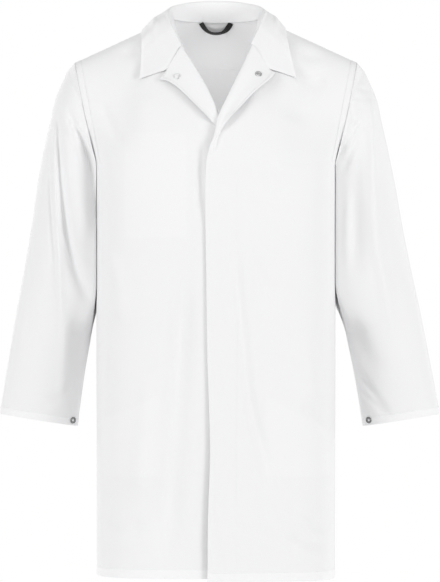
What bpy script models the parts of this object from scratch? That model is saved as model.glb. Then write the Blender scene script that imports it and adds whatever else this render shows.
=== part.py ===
"""Dust coat: a white work coat with a notched collar, filled out on a general figure.

Metres, +Z up.  The front faces -Y and the wearer's left is +X.  The origin lies midway between
the two side-neck points, where the wearer's shoulders carry the coat.  Every cloth piece is an
open surface given a wall with Solidify; neighbours keep a small gap where they are sewn.
"""
from collections import namedtuple
from math import cos, pi, radians, sin

import bmesh
import bpy
from mathutils import Vector

# Driving dimensions
UNDERARM_Z = -0.265
HEM_Z = -1.002
OVER_HEM_DROP = 0.0055          # the overlapping front hangs this much lower
SHOULDER_X = 0.2545             # half the shoulder width
SHOULDER_Z = -0.079
SHOULDER_CENTRE_Z = 0.040       # height at which the two shoulder lines would meet
NECK_HALF_WIDTH = 0.0765
NECK_DEPTH = 0.066              # side-neck point to centre back
NECK_BACK_Z = 0.002
ARMHOLE_FRONT = 0.068
ARMHOLE_BACK = 0.078
CLOTH = 0.0010
SEAM_GAP = 0.0005               # each sewn edge stands back this far from the seam line
COLLAR_CLOTH = 0.0018
LAPEL_CLOTH = 0.0016
LAPEL_LIFT = 0.0028             # the lapel's middle above the front's middle
OVERLAP_LIFT = 0.0034           # left front above right front, with the fly between them
FLY_LIFT = 0.00165              # the fly's middle above the right front's middle
LAPEL_OVERLAP_LIFT = 0.0062     # the same where the right lapel passes below
CUFF_SWING = 0.0147             # the left sleeve hangs this much further out at the cuff

BODY_COLUMNS = 12
LOWER_ROWS = 12
UPPER_ROWS = 10
YOKE_ROW = 6                    # the upper row on which the yoke seam lies
SLEEVE_STEPS = 14

# Half width and the centre lines' depths, from the neck to the hem
Level = namedtuple("Level", "z half_width front back")
LEVELS = (
    Level(-1.010, 0.2145, -0.1400, 0.1400),
    Level(-0.800, 0.2150, -0.1385, 0.1350),
    Level(-0.620, 0.2155, -0.1360, 0.1280),
    Level(-0.450, 0.2155, -0.1365, 0.1180),
    Level(-0.360, 0.2156, -0.1365, 0.1240),
    Level(-0.290, 0.2162, -0.1335, 0.1290),
    Level(-0.230, 0.2165, -0.1265, 0.1305),
    Level(-0.170, 0.2165, -0.1130, 0.1270),
    Level(-0.112, 0.2165, -0.0915, 0.1130),
    Level(-0.050, 0.2165, -0.0600, 0.0900),
    Level(-0.005, 0.2165, -0.0330, 0.0700),
    Level(0.040, 0.2165, 0.0000, 0.0520),
)

# Inner edge of each front, measured from the centre towards its own side: above the lapel's
# break it is the roll line, below it the front edge, which passes beyond the centre line
Edge = namedtuple("Edge", "z x")
FRONT_EDGE = {
    "right": (
        Edge(-1.010, -0.0180), Edge(-0.240, -0.0180), Edge(-0.215, -0.0165), Edge(-0.185, -0.0053),
        Edge(-0.1345, 0.0160), Edge(-0.089, 0.0413), Edge(-0.050, 0.0622), Edge(-0.020, 0.0752),
        Edge(0.005, 0.0765),
    ),
    "left": (
        Edge(-1.010, -0.0142), Edge(-0.900, -0.0135), Edge(-0.780, -0.0098), Edge(-0.700, -0.0115),
        Edge(-0.600, -0.0152), Edge(-0.480, -0.0185), Edge(-0.278, -0.0177), Edge(-0.243, -0.0115),
        Edge(-0.2196, -0.0018), Edge(-0.185, 0.0060), Edge(-0.144, 0.0249), Edge(-0.106, 0.0429),
        Edge(-0.067, 0.0613), Edge(-0.028, 0.0752), Edge(0.005, 0.0765),
    ),
}

# Lapel edge from the notch round the corner and down to where the lapel begins to turn back
LAPEL_EDGE = {
    "right": (
        Edge(-0.0991, 0.0877), Edge(-0.1152, 0.0975), Edge(-0.1206, 0.0859), Edge(-0.1288, 0.0722),
        Edge(-0.1422, 0.0570), Edge(-0.1612, 0.0383), Edge(-0.1850, 0.0150), Edge(-0.2130, -0.0110),
    ),
    "left": (
        Edge(-0.0974, 0.0940), Edge(-0.1040, 0.1021), Edge(-0.1193, 0.0942), Edge(-0.1446, 0.0661),
        Edge(-0.1723, 0.0418), Edge(-0.1890, 0.0231), Edge(-0.2174, 0.0066), Edge(-0.2400, -0.0010),
    ),
}
LAPEL_TOP_Z = -0.0535           # where the gorge seam meets the roll line
LAPEL_BREAK_Z = {"right": -0.2150, "left": -0.2520}

# Sleeve rings: the outer and inner ends in the front view, the depths before and behind them,
# and how square the ring is (2 is an ellipse)
Ring = namedtuple("Ring", "outer_x outer_z inner_x inner_z front back square")
SLEEVE_RINGS = (
    Ring(0.2558, -0.0795, 0.2180, -0.2655, 0.0680, 0.0780, 2.00),
    Ring(0.2690, -0.0940, 0.2190, -0.2690, 0.0715, 0.0800, 2.00),
    Ring(0.2793, -0.1160, 0.2196, -0.2740, 0.0750, 0.0825, 2.05),
    Ring(0.2916, -0.1455, 0.2200, -0.2830, 0.0780, 0.0840, 2.10),
    Ring(0.3010, -0.1880, 0.2203, -0.2980, 0.0790, 0.0840, 2.15),
    Ring(0.3127, -0.2400, 0.2206, -0.3200, 0.0765, 0.0825, 2.20),
    Ring(0.3235, -0.3000, 0.2208, -0.3600, 0.0720, 0.0800, 2.20),
    Ring(0.3352, -0.3800, 0.2208, -0.4250, 0.0640, 0.0740, 2.20),
    Ring(0.3490, -0.4600, 0.2210, -0.4950, 0.0560, 0.0660, 2.20),
    Ring(0.3620, -0.5300, 0.2255, -0.5600, 0.0490, 0.0570, 2.20),
    Ring(0.3771, -0.6200, 0.2395, -0.6450, 0.0380, 0.0420, 2.15),
    Ring(0.3925, -0.7155, 0.2520, -0.7375, 0.0270, 0.0270, 2.05),
)

# Collar stations on one side, from the centre back to the gorge: the seam and the fold
Station = namedtuple("Station", "seam_x seam_y seam_z fold_x fold_y fold_z")
COLLAR_BACK = (
    Station(0.0000, 0.0645, 0.0040, 0.0000, 0.0690, 0.0405),
    Station(0.0200, 0.0620, 0.0041, 0.0210, 0.0672, 0.0403),
    Station(0.0384, 0.0552, 0.0044, 0.0405, 0.0608, 0.0393),
    Station(0.0548, 0.0442, 0.0048, 0.0580, 0.0500, 0.0370),
    Station(0.0672, 0.0298, 0.0054, 0.0715, 0.0365, 0.0335),
    Station(0.0732, 0.0150, 0.0062, 0.0785, 0.0235, 0.0285),
    Station(0.0736, 0.0005, 0.0066, 0.0800, 0.0110, 0.0225),
)
# The same in front: the height of the seam on the front's edge, then the fold
Turn = namedtuple("Turn", "seam_z fold_x fold_z fold_lift")
COLLAR_FRONT = (
    Turn(-0.0120, 0.0785, 0.0000, 0.0130),
    Turn(-0.0250, 0.0765, -0.0150, 0.0095),
    Turn(-0.0380, 0.0705, -0.0310, 0.0065),
    Turn(-0.0515, 0.0632, -0.0485, 0.0034),
)
# The fall's lower edge, in the same order: x and height, then how far it stands off the coat
Fall = namedtuple("Fall", "half x z lift")
COLLAR_EDGE = {
    "right": (
        Fall("back", 0.0000, -0.0130, 0.0100), Fall("back", 0.0260, -0.0135, 0.0095),
        Fall("back", 0.0510, -0.0150, 0.0085), Fall("back", 0.0760, -0.0180, 0.0075),
        Fall("back", 0.1010, -0.0215, 0.0060), Fall("back", 0.1210, -0.0240, 0.0050),
        Fall("back", 0.1310, -0.0215, 0.0084), Fall("front", 0.1330, -0.0390, 0.0064),
        Fall("front", 0.1335, -0.0640, 0.0040), Fall("front", 0.1348, -0.0890, 0.0038),
        Fall("front", 0.1365, -0.1134, 0.0034),
    ),
    "left": (
        Fall("back", 0.0000, -0.0130, 0.0100), Fall("back", 0.0250, -0.0135, 0.0095),
        Fall("back", 0.0490, -0.0150, 0.0085), Fall("back", 0.0720, -0.0180, 0.0075),
        Fall("back", 0.0950, -0.0205, 0.0060), Fall("back", 0.1120, -0.0215, 0.0050),
        Fall("back", 0.1215, -0.0170, 0.0075), Fall("front", 0.1270, -0.0380, 0.0058),
        Fall("front", 0.1325, -0.0640, 0.0040), Fall("front", 0.1385, -0.0890, 0.0038),
        Fall("front", 0.1437, -0.1112, 0.0034),
    ),
}
NOTCH = {side: LAPEL_EDGE[side][0] for side in LAPEL_EDGE}
GORGE_GAP = 0.0012              # the collar's end stands this far above the lapel's gorge edge

# Pockets inside the fronts: the x range and the heights of the bottom and of the mouth's corners
Pocket = namedtuple("Pocket", "side inner outer bottom mouth_inner mouth_outer")
POCKETS = {
    "pocket_chest": Pocket("right", 0.052, 0.162, -0.398, -0.212, -0.212),
    "pocket_lower_right": Pocket("right", 0.099, 0.203, -0.820, -0.678, -0.722),
    "pocket_lower_left": Pocket("left", 0.088, 0.203, -0.820, -0.680, -0.742),
}
POCKET_LIFT = -0.0016

LOOP_HALF = 0.0274
LOOP_DROP = 0.0190
LOOP_TAPE = 0.0098
LABEL = (-0.0195, 0.0185, -0.0262, -0.0020)    # x range and z range

LAPEL_RING = (0.0691, -0.1127)                 # on the right lapel: x and z
LAPEL_STUD = (0.0744, -0.1070)                 # on the left lapel
SNAP_RADIUS = 0.0067
CUFF_SNAP_RADIUS = 0.0058
SNAP_HEIGHT = 0.0016


def smooth(rows, column, key):
    """Read a table, sorted by z, with a cubic that passes through every row."""
    keys = [row.z for row in rows]
    values = [getattr(row, column) for row in rows]
    if key <= keys[0]:
        return values[0]
    if key >= keys[-1]:
        return values[-1]
    i = max(k for k in range(len(keys) - 1) if keys[k] <= key)
    step = keys[i + 1] - keys[i]
    t = (key - keys[i]) / step

    def slope(k):
        low = max(k - 1, 0)
        high = min(k + 1, len(keys) - 1)
        return (values[high] - values[low]) / (keys[high] - keys[low]) * step

    a = values[i]
    b = values[i + 1]
    return (a * (1 + 2 * t) * (1 - t) ** 2 + b * t * t * (3 - 2 * t)
            + slope(i) * t * (1 - t) ** 2 - slope(i + 1) * t * t * (1 - t))


def ease(value, low, high):
    """0 below low, 1 above high, and a soft step between them."""
    t = min(max((value - low) / (high - low), 0.0), 1.0)
    return t * t * (3 - 2 * t)


def mix(a, b, t):
    return a + (b - a) * t


# ---- the body's surface: one row of cloth for each height -------------------------------------

def body_row(half, h):
    """The row at h, from -1 at the hem through 0 at the underarm to 1 at the shoulder seam."""
    roundness = 2.6 if half == "front" else 2.35
    if h <= 0:
        z = UNDERARM_Z + h * (UNDERARM_Z - HEM_Z)
        depth = smooth(LEVELS, half, z)
        width = smooth(LEVELS, "half_width", z)
        return dict(x=width, y=0.0, z=z, centre_y=depth, centre_z=z, roundness=roundness,
                    full_x=width, flat=0.0, dip=2.0)
    angle = pi * (1 - h)
    rise = (1 - cos(pi * h)) / 2
    top = SHOULDER_CENTRE_Z if half == "front" else NECK_BACK_Z
    centre_z = mix(UNDERARM_Z, top, rise if half == "front" else rise ** 0.92)
    middle_x = (SHOULDER_X + smooth(LEVELS, "half_width", UNDERARM_Z)) / 2
    middle_z = (SHOULDER_Z + UNDERARM_Z) / 2
    reach = -ARMHOLE_FRONT if half == "front" else ARMHOLE_BACK
    width = middle_x + (SHOULDER_X - middle_x) * cos(angle)
    end_y = reach * sin(angle)
    centre_y = smooth(LEVELS, half, centre_z)
    ratio = min(abs(end_y), 0.9 * abs(centre_y)) / max(abs(centre_y), 0.001)
    full_x = width / (1 - ratio ** roundness) ** (1 / roundness)
    dip = 2.0 - ease(h, 0.55, 1.0) if half == "front" else 2.0
    return dict(x=width, y=end_y, z=middle_z + (SHOULDER_Z - middle_z) * cos(angle),
                centre_y=centre_y, centre_z=centre_z, roundness=roundness, full_x=full_x,
                flat=ease(h, 0.10, 0.55), dip=dip)


def row_point(row, t):
    """The point at the fraction t of the row's half width.

    A low row is part of an oval that would close at full_x; a high row flattens into a bow
    that ends on the armhole.
    """
    t = min(max(t, -1.0), 1.0)
    power = row["roundness"]
    oval = row["centre_y"] * (1 - (abs(t) * row["x"] / row["full_x"]) ** power) ** (1 / power)
    bow = mix(row["y"], row["centre_y"], 1 - t * t)
    return Vector((t * row["x"], mix(oval, bow, row["flat"]),
                   mix(row["centre_z"], row["z"], abs(t) ** row["dip"])))


def top_edge(t):
    """The back's upper edge: the neckline as far as the side-neck point, then the shoulder."""
    x = abs(t) * SHOULDER_X
    if x < NECK_HALF_WIDTH:
        along = x / NECK_HALF_WIDTH
        corner = mix(SHOULDER_CENTRE_Z, SHOULDER_Z, NECK_HALF_WIDTH / SHOULDER_X)
        return Vector((t * SHOULDER_X, NECK_DEPTH * (1 - along ** 2) ** 0.5,
                       mix(NECK_BACK_Z, corner, along ** 2)))
    return Vector((t * SHOULDER_X, 0.0, mix(SHOULDER_CENTRE_Z, SHOULDER_Z, abs(t))))


def body_point(half, x, h):
    """A point of the body's surface; the back is drawn up to its neckline near the top."""
    row = body_row(half, h)
    t = x / row["x"]
    point = row_point(row, t)
    if half == "back" and h > 0.5:
        pull = ((h - 0.5) / 0.5) ** 2
        point += (top_edge(t) - row_point(body_row("back", 1.0), t)) * pull
    return point


def body_normal(half, x, h):
    """The outward direction there."""
    limit = body_row(half, h)["x"]
    low_h = max(h - 0.01, -1.02)
    high_h = min(h + 0.01, 1.0)
    across = body_point(half, min(x + 0.003, limit), h) - body_point(half, max(x - 0.003, -limit), h)
    up = body_point(half, x, high_h) - body_point(half, x, low_h)
    normal = across.cross(up) if half == "front" else up.cross(across)
    return normal.normalized()


def height_to_row(half, x, z):
    """The h whose row passes through (x, z) in the front view."""
    low = -1.02
    high = 1.0
    for _ in range(40):
        middle = (low + high) / 2
        if body_point(half, x, middle).z < z:
            low = middle
        else:
            high = middle
    return (low + high) / 2


def overlap_lift(side, x, z):
    """How far the left front stands out to pass over the right one; none on the right."""
    if side == "right":
        return 0.0
    lift = mix(OVERLAP_LIFT, LAPEL_OVERLAP_LIFT, ease(z, -0.32, -0.25))
    return lift * (1 - ease(x, 0.055, 0.105))


def on_body(half, side, x, z, lift):
    """A point lying on the coat at (x, z), lifted off it, on the wearer's right or left."""
    h = height_to_row(half, x, z)
    point = body_point(half, x, h)
    extra = overlap_lift(side, x, z) if half == "front" else 0.0
    point += body_normal(half, x, h) * (lift + extra)
    return placed(side, point)


def placed(side, point):
    """Turn a point given for the wearer's left into one on the named side."""
    return Vector((point.x if side == "left" else -point.x, point.y, point.z))


# ---- making objects ---------------------------------------------------------------------------

def clear_scene():
    for old in list(bpy.data.objects):
        bpy.data.objects.remove(old, do_unlink=True)
    collection = bpy.data.collections.new("dust_coat")
    bpy.context.scene.collection.children.link(collection)
    return collection


def material(name, colour, roughness, metallic=0.0):
    made = bpy.data.materials.new(name)
    made.use_nodes = True
    shader = made.node_tree.nodes["Principled BSDF"]
    shader.inputs["Base Color"].default_value = (*colour, 1.0)
    shader.inputs["Roughness"].default_value = roughness
    shader.inputs["Metallic"].default_value = metallic
    return made


def add_object(name, bm, surface, collection):
    mesh = bpy.data.meshes.new(name)
    bm.to_mesh(mesh)
    bm.free()
    mesh.shade_smooth()
    mesh.set_sharp_from_angle(angle=radians(40))
    thing = bpy.data.objects.new(name, mesh)
    collection.objects.link(thing)
    own = surface.copy()
    own.name = name
    mesh.materials.append(own)
    return thing


def sheet(name, rows, wall, surface, collection, closed=False):
    """A shell whose middle surface passes through the grid of points in rows."""
    across = len(rows[0]) - 1
    along = len(rows) - 1
    bm = bmesh.new()
    bmesh.ops.create_grid(bm, x_segments=across, y_segments=along, size=1)
    bm.verts.ensure_lookup_table()
    for j, row in enumerate(rows):
        for i, point in enumerate(row):
            bm.verts[j * (across + 1) + i].co = point
    if closed:
        bmesh.ops.remove_doubles(bm, verts=bm.verts, dist=1e-6)
    bmesh.ops.recalc_face_normals(bm, faces=bm.faces)
    thing = add_object(name, bm, surface, collection)
    thickness = thing.modifiers.new("wall", "SOLIDIFY")
    thickness.thickness = wall
    thickness.offset = 0.0
    return thing


# ---- body pieces ------------------------------------------------------------------------------

def front_edge_x(side, h):
    """Where the row at h meets the front's inner edge."""
    low = -0.03
    high = NECK_HALF_WIDTH
    for _ in range(40):
        middle = (low + high) / 2
        if middle < smooth(FRONT_EDGE[side], "x", body_point("front", middle, h).z):
            low = middle
        else:
            high = middle
    return (low + high) / 2


def spread(s, h):
    """Even steps along a row, closer together where a lower row turns round the side."""
    return mix(sin(s * pi / 2) ** 0.9, s, ease(h, 0.0, 0.6))


def front_grid(side):
    """Rows of points of one front, from the hem to the shoulder and from the edge to the side."""
    drop = OVER_HEM_DROP / (UNDERARM_Z - HEM_Z) if side == "left" else 0.0
    levels = [-(1 + drop) + (1 + drop) * k / LOWER_ROWS for k in range(LOWER_ROWS)]
    levels += [k / UPPER_ROWS for k in range(UPPER_ROWS + 1)]
    rows = []
    for h in levels:
        inner = front_edge_x(side, h)
        outer = body_row("front", h)["x"]
        row = []
        for k in range(BODY_COLUMNS + 1):
            x = mix(inner, outer, spread(k / BODY_COLUMNS, h))
            point = body_point("front", x, h)
            point += body_normal("front", x, h) * overlap_lift(side, x, point.z)
            point.y -= SEAM_GAP * max(ease(h, 0.9, 1.0), k == BODY_COLUMNS)
            row.append(placed(side, point))
        rows.append(row)
    return rows


def back_fractions():
    """Places across the back, with one of them on the side-neck point."""
    neck = NECK_HALF_WIDTH / SHOULDER_X
    half = [neck * k / 4 for k in range(4)] + [mix(neck, 1, k / 7) for k in range(8)]
    return [-t for t in reversed(half[1:])] + half


def back_row(h):
    row = []
    width = body_row("back", h)["x"]
    for t in back_fractions():
        bent = mix(sin(abs(t) * pi / 2), abs(t), ease(h, 0.0, 0.6))
        x = (bent if t > 0 else -bent) * width
        point = body_point("back", x, h)
        point.y += SEAM_GAP * max(ease(h, 0.9, 1.0), abs(t) > 0.999)
        row.append(point)
    return row


def build_body(white, collection):
    grids = {side: front_grid(side) for side in ("right", "left")}
    for side, rows in grids.items():
        sheet(f"front_{side}", rows, CLOTH, white, collection)
    seam = YOKE_ROW / UPPER_ROWS
    lower = [-1 + k / LOWER_ROWS for k in range(LOWER_ROWS)]
    lower += [k / UPPER_ROWS for k in range(YOKE_ROW)] + [seam - SEAM_GAP * 2]
    upper = [seam + SEAM_GAP * 2] + [k / UPPER_ROWS for k in range(YOKE_ROW + 1, UPPER_ROWS + 1)]
    sheet("back", [back_row(h) for h in lower], CLOTH, white, collection)
    sheet("back_yoke", [back_row(h) for h in upper], CLOTH, white, collection)
    return grids


# ---- sleeves ----------------------------------------------------------------------------------

def ring_value(column, place):
    """Read the sleeve table between its rings; place counts rings from the armhole."""
    Step = namedtuple("Step", "z value")
    steps = [Step(float(k), getattr(ring, column)) for k, ring in enumerate(SLEEVE_RINGS)]
    return smooth(steps, "value", place)


def signed_power(value, power):
    return abs(value) ** power * (1 if value >= 0 else -1)


def sleeve_point(side, place, angle):
    """The sleeve's surface: angle 0 is its outer side and 90 degrees its front."""
    outer = Vector((ring_value("outer_x", place), 0, ring_value("outer_z", place)))
    inner = Vector((ring_value("inner_x", place), 0, ring_value("inner_z", place)))
    front = sin(angle) >= 0
    depth = ring_value("front" if front else "back", place)
    power = 2 / ring_value("square", place)
    point = (outer + inner) / 2 + (outer - inner) / 2 * signed_power(cos(angle), power)
    point.y = -depth * signed_power(sin(angle), power)
    if side == "left":
        point.x += CUFF_SWING * min(max((-0.25 - point.z) / 0.4655, 0), 1.05)
    return placed(side, point)


def build_sleeves(white, collection):
    around = 2 * UPPER_ROWS
    last = len(SLEEVE_RINGS) - 1
    for side in ("right", "left"):
        rows = []
        for step in range(SLEEVE_STEPS + 1):
            place = last * step / SLEEVE_STEPS
            ring = [sleeve_point(side, place, 2 * pi * k / around) for k in range(around)]
            rows.append(ring + [ring[0].copy()])
        sheet(f"sleeve_{side}", rows, CLOTH, white, collection, closed=True)


# ---- collar and lapels ------------------------------------------------------------------------

def lapel_rows(side):
    """From the gorge seam down to the break; each row runs from the roll to the lapel's edge."""
    edge = LAPEL_EDGE[side]
    rows = []
    for k, corner in enumerate(edge):
        t = k / (len(edge) - 1)
        roll_z = mix(LAPEL_TOP_Z, LAPEL_BREAK_Z[side], t ** 0.85)
        roll_x = smooth(FRONT_EDGE[side], "x", roll_z)
        row = [on_body("front", side, roll_x - 0.0024, roll_z, -0.0006),
               on_body("front", side, roll_x - 0.0026, roll_z, 0.0014)]
        for across in (0.06, 0.28, 0.52, 0.76, 1.0):
            x = mix(roll_x, corner.x, across)
            z = mix(roll_z, corner.z, across)
            row.append(on_body("front", side, x, z, mix(LAPEL_LIFT, LAPEL_LIFT + 0.0008, across)))
        rows.append(row)
    return rows


def collar_station(side, seam, fold, middle, edge, outward):
    """One line across the collar: up the stand, over the fold and down the fall."""
    turn = fold + outward * 0.0042 + Vector((0, 0, -0.0008))
    fall = [turn.lerp(middle, k / 3) for k in range(3)] + [middle.lerp(edge, k / 3) for k in range(4)]
    return [seam, seam.lerp(fold, 0.55), fold] + fall


def keep_off(side, point, lift):
    """Push a point of the collar outwards until it clears the coat below it by lift."""
    half = "front" if point.y < 0 else "back"
    x = abs(point.x)
    own = "left" if point.x > 0 else "right"
    h = height_to_row(half, x, point.z)
    base = body_point(half, x, h)
    normal = body_normal(half, x, h)
    need = lift + (overlap_lift(own, x, point.z) if half == "front" else 0.0)
    local = placed(own, point)
    short = need - (local - base).dot(normal)
    if short > 0:
        local += normal * short
    return placed(own, local)


def collar_half(side):
    """The lines across one half of the collar, from the centre back to the gorge."""
    lines = []
    edges = COLLAR_EDGE[side]
    for k, station in enumerate(COLLAR_BACK):
        seam = placed(side, Vector((station.seam_x, station.seam_y, station.seam_z)))
        fold = placed(side, Vector((station.fold_x, station.fold_y, station.fold_z)))
        fall = edges[k]
        edge = on_body("back", side, fall.x, fall.z, fall.lift)
        outward = Vector((edge.x - fold.x, edge.y - fold.y, 0)).normalized()
        middle = fold.lerp(edge, 0.5) + outward * 0.004 + Vector((0, 0, 0.0035))
        lines.append(collar_station(side, seam, fold, middle, edge, outward))
    for k, turn in enumerate(COLLAR_FRONT):
        seam_x = smooth(FRONT_EDGE[side], "x", turn.seam_z)
        inside = mix(0.0005, 0.0045, k / (len(COLLAR_FRONT) - 1))
        seam = on_body("front", side, seam_x - 0.0046, turn.seam_z, -inside)
        fold = on_body("front", side, turn.fold_x, turn.fold_z, turn.fold_lift)
        fall = edges[len(COLLAR_BACK) + k]
        edge = on_body("front", side, fall.x, fall.z, fall.lift)
        outward = (edge - fold).normalized()
        last = k == len(COLLAR_FRONT) - 1
        middle = fold.lerp(edge, 0.5) + Vector((0, -0.002, 0.002))
        if last:
            notch = NOTCH[side]
            middle = on_body("front", side, notch.x + 0.0006, notch.z + GORGE_GAP, LAPEL_LIFT)
        lines.append(collar_station(side, seam, fold, middle, edge, outward))
    return [line[:3] + [keep_off(side, point, 0.0024) for point in line[3:]] for line in lines]


def build_collar(white, collection):
    right = collar_half("right")
    left = collar_half("left")
    sheet("collar", list(reversed(right)) + left[1:], COLLAR_CLOTH, white, collection)
    for side in ("right", "left"):
        sheet(f"lapel_{side}", lapel_rows(side), LAPEL_CLOTH, white, collection)


# ---- fly, pockets, loop and label -------------------------------------------------------------

def build_fly(white, collection):
    """The strip of the covered front, between the two fronts."""
    rows = []
    for k in range(LOWER_ROWS + 1):
        z = mix(-0.985, -0.310, k / LOWER_ROWS)
        xs = (-0.0060, 0.0060, 0.0200, 0.0345)
        rows.append([on_body("front", "right", -x, z, 0.0) + Vector((0, -FLY_LIFT, 0))
                     for x in xs])
    sheet("fly_strip", rows, CLOTH, white, collection)


def grid_place(grid, side, x, z):
    """Fractional row and column of a front's grid at (x, z) in the front view."""
    row_place = 0.0
    column_place = 0.0
    for _ in range(12):
        column = [sample(grid, float(j), column_place).z for j in range(len(grid))]
        row_place = crossing(column, z)
        sign = 1 if side == "left" else -1
        across = [sample(grid, row_place, float(i)).x * sign for i in range(len(grid[0]))]
        column_place = crossing(across, x)
    return row_place, column_place


def crossing(values, wanted):
    """Where a rising list passes a value, as a fractional index."""
    for k in range(len(values) - 1):
        if values[k] <= wanted <= values[k + 1]:
            return k + (wanted - values[k]) / (values[k + 1] - values[k])
    return 0.0 if wanted < values[0] else float(len(values) - 1)


def sample(grid, row, column):
    """A point on the grid's own facets."""
    j = min(int(row), len(grid) - 2)
    i = min(int(column), len(grid[0]) - 2)
    low = grid[j][i].lerp(grid[j][i + 1], column - i)
    high = grid[j + 1][i].lerp(grid[j + 1][i + 1], column - i)
    return low.lerp(high, row - j)


def sample_normal(grid, side, row, column):
    last_row = len(grid) - 1
    last_column = len(grid[0]) - 1
    across = (sample(grid, row, min(column + 0.5, last_column))
              - sample(grid, row, max(column - 0.5, 0)))
    up = (sample(grid, min(row + 0.5, last_row), column)
          - sample(grid, max(row - 0.5, 0), column))
    normal = across.cross(up).normalized()
    return normal if side == "left" else -normal


def steps_between(low, high):
    """The whole numbers between two places, with the places themselves."""
    inner = [float(k) for k in range(int(low) + 1, int(high) + 1) if low + 0.15 < k < high - 0.15]
    return [low] + inner + [high]


def build_pockets(grids, white, collection):
    """Patches behind the fronts, on the fronts' own facets, each open along its mouth."""
    for name, pocket in POCKETS.items():
        grid = grids[pocket.side]
        bottom, inner = grid_place(grid, pocket.side, pocket.inner, pocket.bottom)
        top_inner = grid_place(grid, pocket.side, pocket.inner, pocket.mouth_inner)[0]
        top_outer, outer = grid_place(grid, pocket.side, pocket.outer, pocket.mouth_outer)
        columns = steps_between(inner, outer)
        levels = steps_between(bottom, max(top_inner, top_outer))
        rows = []
        for level in levels:
            row = []
            for column in columns:
                mouth = mix(top_inner, top_outer, (column - inner) / (outer - inner))
                height = bottom + (level - bottom) * (mouth - bottom) / (levels[-1] - bottom)
                point = sample(grid, height, column)
                row.append(point + sample_normal(grid, pocket.side, height, column) * POCKET_LIFT)
            rows.append(row)
        sheet(name, rows, CLOTH, white, collection)


def build_loop(black, collection):
    """A tape sewn into the neck seam at both ends; it turns on edge where it bends."""
    middle = []
    steps = 18
    for k in range(steps + 1):
        s = -1 + 2 * k / steps
        along = s * (1.35 - 0.35 * s * s)
        x, z = LOOP_HALF * along, 0.0002 - LOOP_DROP * (1 - abs(along) ** 2.65)
        middle.append(Vector((x, back_inside_y(x, z), z)))
    rows = []
    for k, point in enumerate(middle):
        s = -1 + 2 * k / steps
        tangent = middle[min(k + 1, steps)] - middle[max(k - 1, 0)]
        across = Vector((-tangent.z, 0, tangent.x)).normalized()
        turn = mix(0.72, 0.40 if s < 0 else 0.05, ease(abs(s), 0.25, 0.85))
        wide = mix(across, Vector((0, -1, 0)), turn).normalized() * (LOOP_TAPE / 2)
        off = Vector((0, -abs(wide.y) - mix(0.0058, 0.0023, ease(abs(s), 0.30, 1.0)), 0))
        rows.append([point - wide + off, point + wide + off])
    sheet("hanger_loop", rows, CLOTH, black, collection)


def back_inside_y(x, z):
    """The depth of the yoke's surface at (x, z), at its neckline where z is above it."""
    return body_point("back", abs(x), height_to_row("back", abs(x), z)).y


def build_label(white, collection):
    low_x, high_x, low_z, high_z = LABEL
    rows = []
    for j in range(4):
        z = mix(low_z, high_z, j / 3)
        rows.append([Vector((x, back_inside_y(x, z) - 0.0026, z))
                     for x in (mix(low_x, high_x, i / 6) for i in range(7))])
    sheet("neck_label", rows, CLOTH, white, collection)


# ---- snap fasteners ---------------------------------------------------------------------------

def add_ring(name, centre, normal, radius, bore, surface, collection):
    """A flat ring, or a disc when bore is 0, lying on the cloth with its axis along normal."""
    bm = bmesh.new()
    bmesh.ops.create_cone(bm, cap_ends=True, segments=24, radius1=radius, radius2=radius * 0.86,
                          depth=SNAP_HEIGHT)
    if bore:
        caps = [face for face in bm.faces if len(face.verts) > 4]
        bmesh.ops.inset_region(bm, faces=caps, thickness=radius - bore, use_even_offset=False)
        loops = [face for face in bm.faces if len(face.verts) > 4]
        bmesh.ops.bridge_loops(bm, edges=[edge for face in loops for edge in face.edges])
        bmesh.ops.delete(bm, geom=loops, context="FACES_ONLY")
    bmesh.ops.recalc_face_normals(bm, faces=bm.faces)
    thing = add_object(name, bm, surface, collection)
    thing.rotation_euler = normal.to_track_quat("Z", "Y").to_euler()
    thing.location = centre
    return thing


def build_snaps(steel, dark, collection):
    out = LAPEL_LIFT + LAPEL_CLOTH / 2 + SNAP_HEIGHT / 2 + 0.0015
    for name, side, place, bore, surface in (
            ("lapel_ring", "right", LAPEL_RING, SNAP_RADIUS * 0.55, steel),
            ("lapel_stud", "left", LAPEL_STUD, 0.0, dark)):
        x, z = place
        centre = on_body("front", side, x, z, out)
        normal = centre - on_body("front", side, x, z, 0.0)
        add_ring(name, centre, normal, SNAP_RADIUS, bore, surface, collection)
    last = len(SLEEVE_RINGS) - 1
    for side, angle in (("right", radians(150)), ("left", radians(146))):
        place = last - 0.10
        base = sleeve_point(side, place, angle)
        round_it = sleeve_point(side, place, angle + 0.1) - sleeve_point(side, place, angle - 0.1)
        down = sleeve_point(side, place + 0.1, angle) - sleeve_point(side, place - 0.1, angle)
        normal = round_it.cross(down).normalized()
        if normal.y > 0:
            normal.negate()
        centre = base + normal * (CLOTH / 2 + SNAP_HEIGHT / 2 + 0.0006)
        add_ring(f"cuff_snap_{side}", centre, normal, CUFF_SNAP_RADIUS, CUFF_SNAP_RADIUS * 0.5,
                 steel, collection)


def main():
    collection = clear_scene()
    white = material("white_cotton", (0.86, 0.87, 0.88), 0.85)
    black = material("black_tape", (0.015, 0.015, 0.017), 0.80)
    steel = material("snap_steel", (0.62, 0.62, 0.63), 0.30, 1.0)
    dark = material("snap_dark", (0.16, 0.16, 0.17), 0.35, 1.0)
    grids = build_body(white, collection)
    build_sleeves(white, collection)
    build_collar(white, collection)
    build_fly(white, collection)
    build_pockets(grids, white, collection)
    build_loop(black, collection)
    build_label(white, collection)
    build_snaps(steel, dark, collection)


main()
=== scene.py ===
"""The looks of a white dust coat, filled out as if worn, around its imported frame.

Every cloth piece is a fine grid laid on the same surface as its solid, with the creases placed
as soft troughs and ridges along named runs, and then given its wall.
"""
from collections import namedtuple
from math import radians

import bmesh
import bpy
import numpy as np
from mathutils import Matrix, Vector


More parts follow.
